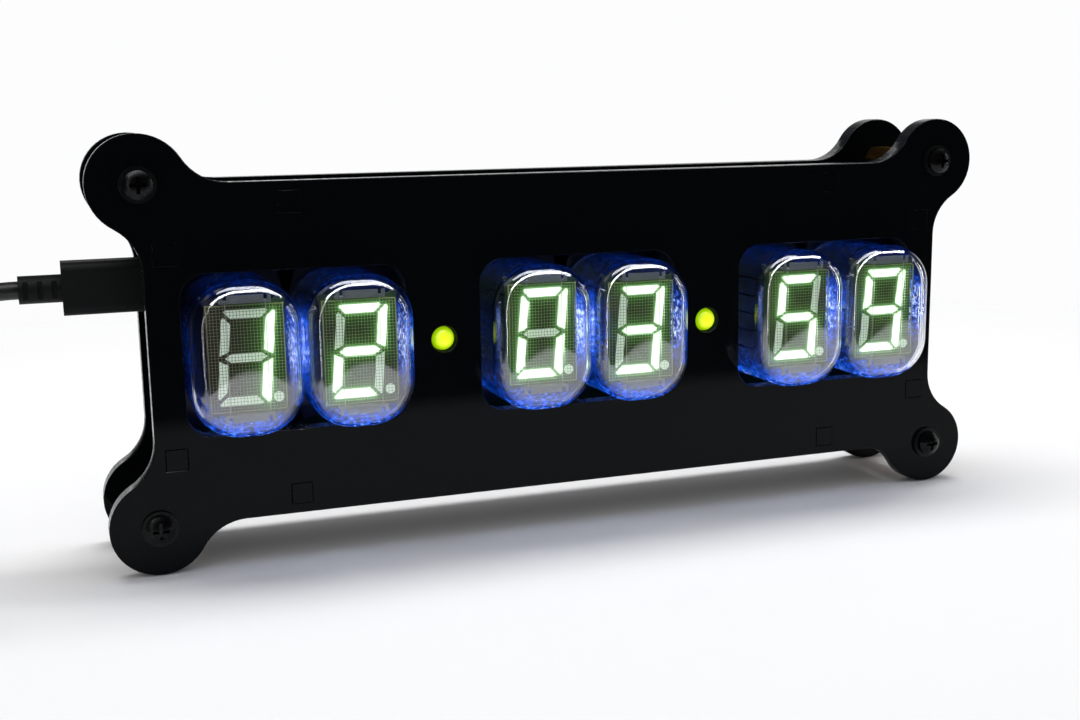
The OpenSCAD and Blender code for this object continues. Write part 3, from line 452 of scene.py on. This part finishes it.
# Rolled nickel strip inside the tubes: pale, with rolling lines.
strip = mottled("rolled_nickel_strip", "#62645f", "#8e908a", (0.35, 0.5), 0.5, {"Metallic": 0.5},
    stretch=(1, 1, 6))
# Sealed lead wire: dull and brown-black from the flame that closed the base.
lead_wire = mottled("oxidised_lead_wire", "#120e0b", "#261e18", (0.5, 0.7), 0.5, {"Metallic": 0.3})
# Oxide coated tungsten: thin and pale.
tungsten = mottled("coated_tungsten_wire", "#9a958a", "#d2cdc0", (0.5, 0.7), 0.4, {"Metallic": 0.3})
# Solder-masked glass fibre board: deep green, with the weave just showing.
laminate = mottled("green_board_laminate", "#0b2a17", "#174a2a", (0.3, 0.45), 0.9)
# Moulded component epoxy: matt black.
component = mottled("black_component_epoxy", "#141517", "#232528", (0.5, 0.7), 0.4, bump=0.01)
# Shrunk sleeve of a capacitor: dark blue film.
sleeve = mottled("blue_capacitor_sleeve", "#161d38", "#2a3560", (0.25, 0.4), 1.2)
# Soft moulded PVC of the plugs: black with a spark-eroded grain, drawn coarse so that it shows.
moulded = mottled("moulded_plug_pvc", "#060809", "#0f1214", (0.5, 0.72), 0.35,
    {"Specular IOR Level": 0.2}, bump=0.03)
# Extruded PVC of the cord: smooth black with a soft shine.
cord_pvc = mottled("extruded_cord_pvc", "#0e0f11", "#1b1d20", (0.38, 0.52), 1.5, bump=0.01)
# Woven tie: dull black pile.
tie_cloth = mottled("woven_tie", "#121315", "#2d2f33", (0.8, 0.95), 0.6, bump=0.06)

FINISHES = {
    acrylic: ["front_plate", "rear_plate", "top_wall", "bottom_wall", "left_wall", "right_wall"],
    brass: ["standoffs"],
    black_steel: ["front_screws", "rear_screws", "board_screws"],
    black_nylon: ["front_washers", "rear_washers", "button_left", "button_middle", "button_right"],
    white_nylon: ["board_spacers"],
    nickel: ["board_nuts", "crystal", "coin_cell", "socket_shell", "plug_shell", "far_plug_shell",
        "lamp_leads"],
    strip: ["filament_brackets", "getters"],
    lead_wire: ["tube_leads"],
    tungsten: ["filaments"],
    laminate: ["main_board"],
    component: ["chips", "cell_holder", "choke", "switches", "socket_tongue"],
    sleeve: ["capacitors"],
    lit_phosphor: ["lit_segments"],
    dull_phosphor: ["dark_segments"],
    lamp_epoxy: ["colon_lamp_left", "colon_lamp_right"],
    lamp_blue: ["backlights"],
    moulded: ["plug_grip", "strain_relief", "far_plug_grip"],
    tie_cloth: ["coil_ties"],
}
for finish, names in FINISHES.items():
    for name in names:
        for slot in nodes[name].material_slots:
            slot.material = finish

# The laser leaves the sheets' edges a little broken, which shows as a fine line round each cut.
for name in ("front_plate", "rear_plate"):
    nodes[name].modifiers.new("joined", "WELD").merge_threshold = WELD_GAP * MM
    broken = nodes[name].modifiers.new("broken_edges", "BEVEL")
    broken.width = BROKEN_EDGE * MM
    broken.segments = 1
    broken.limit_method = "ANGLE"
    broken.angle_limit = math.radians(BROKEN_EDGE_DEGREES)


# Camera and cord

def make_camera():
    lens = bpy.data.cameras.new("camera")
    lens.sensor_width = SENSOR_WIDTH
    lens.lens = FOCAL_LENGTH
    lens.clip_start = CAMERA_NEAREST * MM
    camera = bpy.data.objects.new("camera", lens)
    turn = Matrix.Rotation(math.radians(-CAMERA_PAN_DEGREES), 4, "Z")
    tilt = Matrix.Rotation(math.radians(90 + CAMERA_TILT_DEGREES), 4, "X")
    roll = Matrix.Rotation(math.radians(CAMERA_ROLL_DEGREES), 4, "Z")
    camera.matrix_world = Matrix.Translation(metres(CAMERA_PLACE)) @ turn @ tilt @ roll
    scene.collection.objects.link(camera)
    scene.camera = camera


def coil_point(turns):
    """A point of the coil, which spirals in on its upper layer and out again on its lower one.

    It changes layers in the half turn about its middle.
    """
    half = COIL_TURNS / 2
    radius = COIL_INNER_RADIUS + COIL_PITCH * abs(turns - half)
    angle = math.radians(90 + 360 * turns)
    drop = COIL_PITCH * min(1, max(0, 2 * (turns - half) + 0.5))
    height = COIL_LOW_Z + COIL_PITCH - drop
    return (COIL_X + radius * math.cos(angle), COIL_Y + radius * math.sin(angle), height)


def make_cord():
    relief_low, relief_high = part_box("strain_relief")
    relief_middle = middle(relief_low, relief_high)
    start = Vector((relief_low.x, relief_middle.y, relief_middle.z))
    steps = round(COIL_TURNS * COIL_POINTS_PER_TURN)
    coil = [coil_point(i / COIL_POINTS_PER_TURN) for i in range(steps + 1)]
    end_y = coil[-1][1]
    tail = [(COIL_X + reach, end_y, COIL_LOW_Z) for reach in (CORD_RADIUS, COIL_TAIL)]
    route = [start] + [metres(p) for p in LEAD_POINTS + coil + tail]

    line = bpy.data.curves.new("supply_cord", "CURVE")
    line.dimensions = "3D"
    line.bevel_depth = CORD_RADIUS * MM
    line.bevel_resolution = CORD_ROUNDNESS
    line.resolution_u = CORD_STEPS
    line.use_fill_caps = True
    spline = line.splines.new("BEZIER")
    spline.bezier_points.add(len(route) - 1)
    for point, place in zip(spline.bezier_points, route):
        point.co = place
        point.handle_left_type = point.handle_right_type = "AUTO"
    line.materials.append(cord_pvc)
    cord = bpy.data.objects.new("supply_cord", line)
    scene.collection.objects.link(cord)
    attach(cord, "supply_lead")
    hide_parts("cord_lead", "cord_coil")


make_camera()
make_cord()


# Bulbs

def round_outline(half_w, half_h, radius):
    """Points round a rectangle with round corners, always the same number of them."""
    points = []
    centres = [(half_w - radius, half_h - radius), (radius - half_w, half_h - radius),
        (radius - half_w, radius - half_h), (half_w - radius, radius - half_h)]
    for k, (cx, cz) in enumerate(centres):
        for i in range(CORNER_STEPS + 1):
            angle = math.pi / 2 * (k + i / CORNER_STEPS)
            points.append((cx + radius * math.cos(angle), cz + radius * math.sin(angle)))
        nx, nz = centres[(k + 1) % 4]
        end = math.pi / 2 * (k + 1)
        ox, oz = radius * math.cos(end), radius * math.sin(end)
        for i in range(1, SIDE_STEPS):
            t = i / SIDE_STEPS
            points.append((cx + ox + (nx - cx) * t, cz + oz + (nz - cz) * t))
    return points


def bulb_rings(half_w, half_h, corner, edge, back_y, front_y):
    """Rings of a bulb's skin about the tube's axis, from its open back to its crowned front."""
    crown_lean = math.atan(2 * BULB_CROWN / (half_w - edge))
    shoulder_y = front_y + BULB_CROWN + edge * math.cos(crown_lean)
    rings = []
    for i in range(WALL_STEPS):
        y = back_y + (shoulder_y - back_y) * i / WALL_STEPS
        rings.append([(x, y, z) for x, z in round_outline(half_w, half_h, corner)])
    for i in range(EDGE_STEPS + 1):
        angle = (math.pi / 2 - crown_lean) * i / EDGE_STEPS
        inset = edge * (1 - math.cos(angle))
        y = shoulder_y - edge * math.sin(angle)
        outline = round_outline(half_w - inset, half_h - inset, corner - inset)
        rings.append([(x, y, z) for x, z in outline])
    rim = rings[-1]
    for share in CROWN_RING_SHARES:
        forward = BULB_CROWN * (1 - share * share)
        rise = BULB_CROWN_RISE * (1 - share)
        rings.append([(x * share, y - forward, z * share + rise) for x, y, z in rim])
    return rings


def rippled(point, inwards):
    """A point of blown glass, moved a little by the unevenness of the glass."""
    x, y, z = point
    lean = noise.noise(Vector(point) / BULB_RIPPLE_LENGTH) * 0.5 + 0.5
    reach = max(abs(x), abs(z), 1.0)
    move = inwards * BULB_RIPPLE * lean / reach
    return Vector((x - x * move, y, z - z * move))


def painted_wall_glow(point, half, left_share):
    """How bright the painted lamp light in a bulb is: beside the lamp, in its ends and its lower
    left corner.
    """
    x, y, z = point
    across, up = x / half.x, z / half.z
    side = max(0, abs(across) - WALL_GLOW_START) / (1 - WALL_GLOW_START)
    if across < 0:
        side *= left_share
    spot = math.exp(-((z - WALL_SPOT_Z) / WALL_SPOT_UP) ** 2 - (y / WALL_SPOT_REACH) ** 2)
    end = max(0, abs(up) - END_GLOW_START) / (1 - END_GLOW_START)
    end_share = HEAD_GLOW_SHARE if up > 0 else FOOT_GLOW_SHARE
    corner = (max(0, -across) * max(0, -up)) ** FOOT_CORNER_POWER
    return min(1, WALL_SPOT_SHARE * side * spot + end_share * end + FOOT_CORNER_SHARE * corner)


def bulb_mesh(number):
    """An outer and an inner skin, joined at the open back."""
    low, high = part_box(f"tube_{number}_glass")
    half = (high - low) / 2 / MM
    centre = middle(low, high) / MM
    back_y = half.y - SEAL_GAP
    outer = bulb_rings(half.x, half.z, BULB_CORNER_RADIUS, BULB_EDGE_RADIUS, back_y, -half.y)
    inner = bulb_rings(half.x - GLASS, half.z - GLASS, BULB_CORNER_RADIUS - GLASS,
        BULB_EDGE_RADIUS - GLASS, back_y, GLASS - half.y)
    count = len(outer[0])
    vertices, faces, starts, glows = [], [], [], []
    for rings, inwards in ((outer, 1), (inner, -1)):
        first = len(vertices)
        starts.append(first)
        for ring in rings:
            vertices += [metres(rippled(p, inwards) + centre) for p in ring]
            glows += [painted_wall_glow(p, half, LEFT_WALL_SHARES[number - 1]) for p in ring]
        for i in range(len(rings) - 1):
            for k in range(count):
                a, b = first + i * count + k, first + i * count + (k + 1) % count
                faces.append((a, b, b + count, a + count))
        last = first + (len(rings) - 1) * count
        faces.append(tuple(range(last, last + count)))
    for k in range(count):
        other = (k + 1) % count
        faces.append((starts[0] + k, starts[0] + other, starts[1] + other, starts[1] + k))
    mesh = mesh_of(f"tube_{number}_bulb", vertices, faces, True)
    keep_glow(mesh, glows)
    return mesh


for number in TUBES:
    bulb = new_piece(f"tube_{number}_bulb", bulb_mesh(number), "clock", glass)
    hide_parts(f"tube_{number}_glass")


# Plates and bases with a painted glow, whose glow attribute is 1 at the light and falls off round
# it

lit_mesh = nodes["lit_segments"].data
lit_search = BVHTree.FromPolygons([v.co for v in lit_mesh.vertices],
    [p.vertices for p in lit_mesh.polygons])
digit_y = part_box("lit_segments")[0].y


def near_lit(x, z):
    """How strongly the painted glow of the lit segments falls on a point of the digits' plane."""
    gap = lit_search.find_nearest(Vector((x, digit_y, z)))[3]
    return math.exp(-gap / (HALO_REACH * MM))


def into_round_corner(x, z, half_w, half_h, radius):
    """Moves a point of a rectangle so that the rectangle's corners become round."""
    over_x = max(0, abs(x) - (half_w - radius))
    over_z = max(0, abs(z) - (half_h - radius))
    reach = math.hypot(over_x, over_z)
    if reach == 0:
        return x, z
    share = max(over_x, over_z) / reach - 1
    return x + math.copysign(over_x * share, x), z + math.copysign(over_z * share, z)


def painted_glow_plates(name, centres, half_w, half_h, corner, front_y, back_y, weight):
    """Round-cornered plates, one about each centre, with a painted glow as weight(x, z, centre)
    says.
    """
    columns = round(2 * half_w / (PLATE_STEP * MM))
    rows = round(2 * half_h / (PLATE_STEP * MM))
    side = (columns + 1) * (rows + 1)
    vertices, faces, glows = [], [], []

    def at(first, i, k):
        return first + i * (rows + 1) + k

    for centre in centres:
        first = len(vertices)
        for y in (front_y, back_y):
            for i in range(columns + 1):
                for k in range(rows + 1):
                    x, z = into_round_corner((2 * i / columns - 1) * half_w,
                        (2 * k / rows - 1) * half_h, half_w, half_h, corner)
                    vertices.append((centre.x + x, y, centre.z + z))
                    glows.append(weight(centre.x + x, centre.z + z, centre))
        for i in range(columns):
            for k in range(rows):
                quad = (at(first, i, k), at(first, i + 1, k), at(first, i + 1, k + 1),
                    at(first, i, k + 1))
                faces.append(quad)
                faces.append(tuple(v + side for v in reversed(quad)))
        rim = [at(first, i, 0) for i in range(columns)]
        rim += [at(first, columns, k) for k in range(rows)]
        rim += [at(first, i, rows) for i in range(columns, 0, -1)]
        rim += [at(first, 0, k) for k in range(rows, 0, -1)]
        for a, b in zip(rim, rim[1:] + rim[:1]):
            faces.append((b, a, a + side, b + side))
    mesh = mesh_of(name, vertices, faces, False)
    keep_glow(mesh, glows)
    return mesh


def painted_base_glow(across, up):
    """How bright a tube's painted glow is about its middle: a wide soft glow and a painted spot for
    the lamp behind it.
    """
    wide = math.exp(-(across / BASE_GLOW_ACROSS) ** 2 - ((up + BASE_GLOW_DROP) / BASE_GLOW_UP) ** 2)
    spot = math.exp(-(across ** 2 + up ** 2) / BASE_SPOT_RADIUS ** 2)
    return BASE_GLOW_SHARE * wide + (1 - BASE_GLOW_SHARE) * spot


grid_centres = [middle(*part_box(f"tube_{number}_grid")) for number in TUBES]
plate_low, plate_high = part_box("anode_plates")
plates_mesh = painted_glow_plates("digit_plates", grid_centres, PLATE_WIDTH / 2 * MM,
    PLATE_HEIGHT / 2 * MM, PLATE_CORNER_RADIUS * MM, plate_low.y, plate_high.y,
    lambda x, z, centre: near_lit(x, z))
digit_plates = new_piece("digit_plates", plates_mesh, "clock", plate_enamel)
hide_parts("anode_plates")

tube_centres = [middle(*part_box(f"tube_{number}_glass")) for number in TUBES]
base_low, base_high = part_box("tube_bases")
base_half_w = base_high.x - tube_centres[-1].x
base_half_h = (base_high.z - base_low.z) / 2
bases_mesh = painted_glow_plates("seal_bases", tube_centres, base_half_w, base_half_h,
    BULB_CORNER_RADIUS * MM, base_low.y, base_high.y,
    lambda x, z, centre: painted_base_glow((x - centre.x) / MM, (z - centre.z) / MM))
seal_bases = new_piece("seal_bases", bases_mesh, "clock", seal)
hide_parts("tube_bases")


# Control grids, made by Geometry Nodes

def grid_tree():
    """A tree for one grid: crossed wires and a rim in the XZ plane, with a painted glow from the
    lit segments.
    """
    tree = bpy.data.node_groups.new("control_grid", "GeometryNodeTree")
    sockets = [("Width", "NodeSocketFloat"), ("Height", "NodeSocketFloat"),
        ("Columns", "NodeSocketInt"), ("Rows", "NodeSocketInt"), ("Wire Radius", "NodeSocketFloat"),
        ("Rim Width", "NodeSocketFloat"), ("Rim Thickness", "NodeSocketFloat"),
        ("Centre", "NodeSocketVector"), ("Digit Y", "NodeSocketFloat"),
        ("Halo Reach", "NodeSocketFloat"), ("Lit Segments", "NodeSocketObject"),
        ("Finish", "NodeSocketMaterial")]
    for name, kind in sockets:
        tree.interface.new_socket(name, in_out="INPUT", socket_type=kind)
    tree.interface.new_socket("Geometry", in_out="OUTPUT", socket_type="NodeSocketGeometry")
    given = add(tree, "NodeGroupInput").outputs

    lattice = add(tree, "GeometryNodeMeshGrid", None,
        {"Size X": given["Width"], "Size Y": given["Height"],
            "Vertices X": given["Columns"], "Vertices Y": given["Rows"]})
    wire_lines = add(tree, "GeometryNodeMeshToCurve", None, {"Mesh": lattice.outputs["Mesh"]})
    wire_section = add(tree, "GeometryNodeCurvePrimitiveCircle", None,
        {"Resolution": GRID_WIRE_SIDES, "Radius": given["Wire Radius"]})
    wires = add(tree, "GeometryNodeCurveToMesh", None,
        {"Curve": wire_lines.outputs["Curve"], "Profile Curve": wire_section.outputs["Curve"]})
    rim_line = add(tree, "GeometryNodeCurvePrimitiveQuadrilateral", None,
        {"Width": given["Width"], "Height": given["Height"]})
    rim_section = add(tree, "GeometryNodeCurvePrimitiveQuadrilateral", None,
        {"Width": given["Rim Width"], "Height": given["Rim Thickness"]})
    rim = add(tree, "GeometryNodeCurveToMesh", None,
        {"Curve": rim_line.outputs["Curve"], "Profile Curve": rim_section.outputs["Curve"]})
    joined = add(tree, "GeometryNodeJoinGeometry")
    tree.links.new(wires.outputs["Mesh"], joined.inputs["Geometry"])
    tree.links.new(rim.outputs["Mesh"], joined.inputs["Geometry"])
    upright = add(tree, "GeometryNodeTransform", None, {"Geometry": joined.outputs["Geometry"],
        "Translation": given["Centre"], "Rotation": (math.pi / 2, 0, 0)})

    place = add(tree, "GeometryNodeInputPosition")
    parts = add(tree, "ShaderNodeSeparateXYZ", None, {"Vector": place.outputs["Position"]})
    on_digits = add(tree, "ShaderNodeCombineXYZ", None,
        {"X": parts.outputs["X"], "Y": given["Digit Y"], "Z": parts.outputs["Z"]})
    lit = add(tree, "GeometryNodeObjectInfo", None, {"Object": given["Lit Segments"]})
    gap = add(tree, "GeometryNodeProximity", None,
        {0: lit.outputs["Geometry"], "Sample Position": on_digits.outputs["Vector"]})
    reaches = add(tree, "ShaderNodeMath", {"operation": "DIVIDE"},
        {0: gap.outputs["Distance"], 1: given["Halo Reach"]})
    faded = add(tree, "ShaderNodeMath", {"operation": "MULTIPLY"},
        {0: reaches.outputs["Value"], 1: -1.0})
    glow = add(tree, "ShaderNodeMath", {"operation": "EXPONENT"}, {0: faded.outputs["Value"]})
    kept = add(tree, "GeometryNodeStoreNamedAttribute", {"data_type": "FLOAT", "domain": "POINT"},
        {"Geometry": upright.outputs["Geometry"], "Name": "glow", "Value": glow.outputs["Value"]})
    whole = add(tree, "GeometryNodeRealizeInstances", None, {"Geometry": kept.outputs["Geometry"]})
    finished = add(tree, "GeometryNodeSetMaterial", None,
        {"Geometry": whole.outputs["Geometry"], "Material": given["Finish"]})
    add(tree, "NodeGroupOutput", None, {"Geometry": finished.outputs["Geometry"]})
    return tree


def made_by(tree, name, values):
    """The mesh that a tree makes with these values of its named inputs."""
    carrier = bpy.data.objects.new(name + "_carrier", bpy.data.meshes.new(name))
    scene.collection.objects.link(carrier)
    modifier = carrier.modifiers.new("made", "NODES")
    modifier.node_group = tree
    for item in tree.interface.items_tree:
        if item.in_out == "INPUT":
            modifier[item.identifier] = values[item.name]
    shown = carrier.evaluated_get(bpy.context.evaluated_depsgraph_get())
    mesh = bpy.data.meshes.new_from_object(shown)
    mesh.name = name
    bpy.data.objects.remove(carrier)
    return mesh


control_grid = grid_tree()
for number in TUBES:
    low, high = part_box(f"tube_{number}_grid")
    width = high.x - low.x - GRID_RIM * MM
    height = high.z - low.z - GRID_RIM * MM
    centre = middle(low, high)
    centre.y = low.y + GRID_RIM_THICKNESS * MM
    mesh = made_by(control_grid, f"tube_{number}_wire_grid", {
        "Width": width,
        "Height": height,
        "Columns": round(width / (GRID_WIRE_PITCH * MM)) + 1,
        "Rows": round(height / (GRID_WIRE_PITCH * MM)) + 1,
        "Wire Radius": GRID_WIRE_RADIUS * MM,
        "Rim Width": GRID_RIM * MM,
        "Rim Thickness": GRID_RIM_THICKNESS * MM,
        "Centre": centre,
        "Digit Y": digit_y,
        "Halo Reach": HALO_REACH * MM,
        "Lit Segments": nodes["lit_segments"],
        "Finish": grid_steel,
    })
    grid = new_piece(f"tube_{number}_wire_grid", mesh, "clock", grid_steel)
    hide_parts(f"tube_{number}_grid")


# Floor, lamps and room

def floor_paper():
    """White paper that fades out towards its edges, so that it has no visible end."""
    material, tree, shader = started("white_paper",
        {"Base Color": linear("#f4f4f5"), "Roughness": 0.9, "Specular IOR Level": 0.1})
    place = add(tree, "ShaderNodeTexCoord")
    parts = add(tree, "ShaderNodeSeparateXYZ", None, {"Vector": place.outputs["Object"]})
    front = add(tree, "ShaderNodeMapRange", {"interpolation_type": "SMOOTHSTEP"},
        {"Value": parts.outputs["Y"], "From Min": (FLOOR_FRONT_END - FLOOR_FRONT_FADE) * MM,
            "From Max": FLOOR_FRONT_END * MM})
    left = add(tree, "ShaderNodeMapRange", {"interpolation_type": "SMOOTHSTEP"},
        {"Value": parts.outputs["X"], "From Min": (FLOOR_LEFT_END - FLOOR_LEFT_FADE) * MM,
            "From Max": FLOOR_LEFT_END * MM})
    far = add(tree, "ShaderNodeVectorMath", {"operation": "LENGTH"}, {0: place.outputs["Object"]})
    side = add(tree, "ShaderNodeMapRange", {"interpolation_type": "SMOOTHSTEP"},
        {"Value": far.outputs["Value"], "From Min": FLOOR_FAR_END * MM,
            "From Max": (FLOOR_FAR_END - FLOOR_FAR_FADE) * MM})
    near = add(tree, "ShaderNodeMath", {"operation": "MULTIPLY"},
        {0: front.outputs["Result"], 1: left.outputs["Result"]})
    cover = add(tree, "ShaderNodeMath", {"operation": "MULTIPLY"},
        {0: near.outputs["Value"], 1: side.outputs["Result"]})
    nothing = add(tree, "ShaderNodeBsdfTransparent")
    either = add(tree, "ShaderNodeMixShader", None, {0: cover.outputs["Value"],
        1: nothing.outputs["BSDF"], 2: shader.outputs["BSDF"]})
    tree.links.new(either.outputs["Shader"], tree.nodes["Material Output"].inputs["Surface"])
    return material


def make_floor():
    reach, drop = FLOOR_HALF * MM, -FLOOR_DROP * MM
    corners = [(-reach, -reach, drop), (reach, -reach, drop), (reach, reach, drop),
        (-reach, reach, drop)]
    mesh = bpy.data.meshes.new("floor")
    mesh.from_pydata(corners, [], [(0, 1, 2, 3)])
    mesh.materials.append(floor_paper())
    floor = bpy.data.objects.new("floor", mesh)
    scene.collection.objects.link(floor)


def make_lamp(name, place, target, size, power, mirrored):
    """A rectangular lamp, for gloss to mirror or else to light what is not glossy."""
    light = bpy.data.lights.new(name, "AREA")
    light.shape = "RECTANGLE"
    light.size = size[0] * MM
    light.size_y = size[1] * MM
    light.energy = power
    lamp = bpy.data.objects.new(name, light)
    turn = (metres(target) - metres(place)).to_track_quat("-Z", "Y").to_matrix().to_4x4()
    lamp.matrix_world = Matrix.Translation(metres(place)) @ turn
    lamp.visible_camera = False
    lamp.visible_glossy = mirrored
    lamp.visible_diffuse = not mirrored
    scene.collection.objects.link(lamp)


def make_world():
    """A white room to look at, and even light from all round.

    Seen through glass the room is dark above, and in reflections it is also dark in front and
    at the left. Light that has met a dull surface is the even light only.
    """
    world = bpy.data.worlds.new("studio")
    world.use_nodes = True
    scene.world = world
    tree = world.node_tree
    tree.nodes.clear()
    path = add(tree, "ShaderNodeLightPath").outputs
    way = add(tree, "ShaderNodeTexCoord")
    axes = add(tree, "ShaderNodeSeparateXYZ", None, {"Vector": way.outputs["Generated"]})
    bright = {}
    for name, (axis, start, full, dark) in ROOM_PARTS.items():
        part = add(tree, "ShaderNodeMapRange", {"interpolation_type": "SMOOTHSTEP"},
            {"Value": axes.outputs[axis], "From Min": start, "From Max": full,
                "To Min": dark, "To Max": 1.0})
        bright[name] = part.outputs["Result"]
    low_behind = add(tree, "ShaderNodeMath", {"operation": "MULTIPLY"},
        {0: bright["behind"], 1: bright["low_down"]})
    backdrop = add(tree, "ShaderNodeMath", {"operation": "MULTIPLY"},
        {0: low_behind.outputs["Value"], 1: bright["not_left"]})
    room = add(tree, "ShaderNodeMix", None, {"Factor": path["Glossy Depth"],
        "A": bright["low_down"], "B": backdrop.outputs["Value"]})
    sharp = add(tree, "ShaderNodeMath", {"operation": "MAXIMUM"},
        {0: path["Is Glossy Ray"], 1: path["Is Transmission Ray"]})
    seen = add(tree, "ShaderNodeMath", {"operation": "GREATER_THAN"},
        {0: sharp.outputs["Value"], 1: path["Diffuse Depth"]})
    by_ray = add(tree, "ShaderNodeMix", None, {"Factor": seen.outputs["Value"],
        "A": AMBIENT, "B": room.outputs["Result"]})
    strength = add(tree, "ShaderNodeMix", None, {"Factor": path["Is Camera Ray"],
        "A": by_ray.outputs["Result"], "B": 1.0})
    light = add(tree, "ShaderNodeBackground", None,
        {"Color": linear("#fdfdfe"), "Strength": strength.outputs["Result"]})
    add(tree, "ShaderNodeOutputWorld", None, {"Surface": light.outputs["Background"]})


make_floor()
make_world()
for lamp_values in LAMPS:
    make_lamp(*lamp_values)
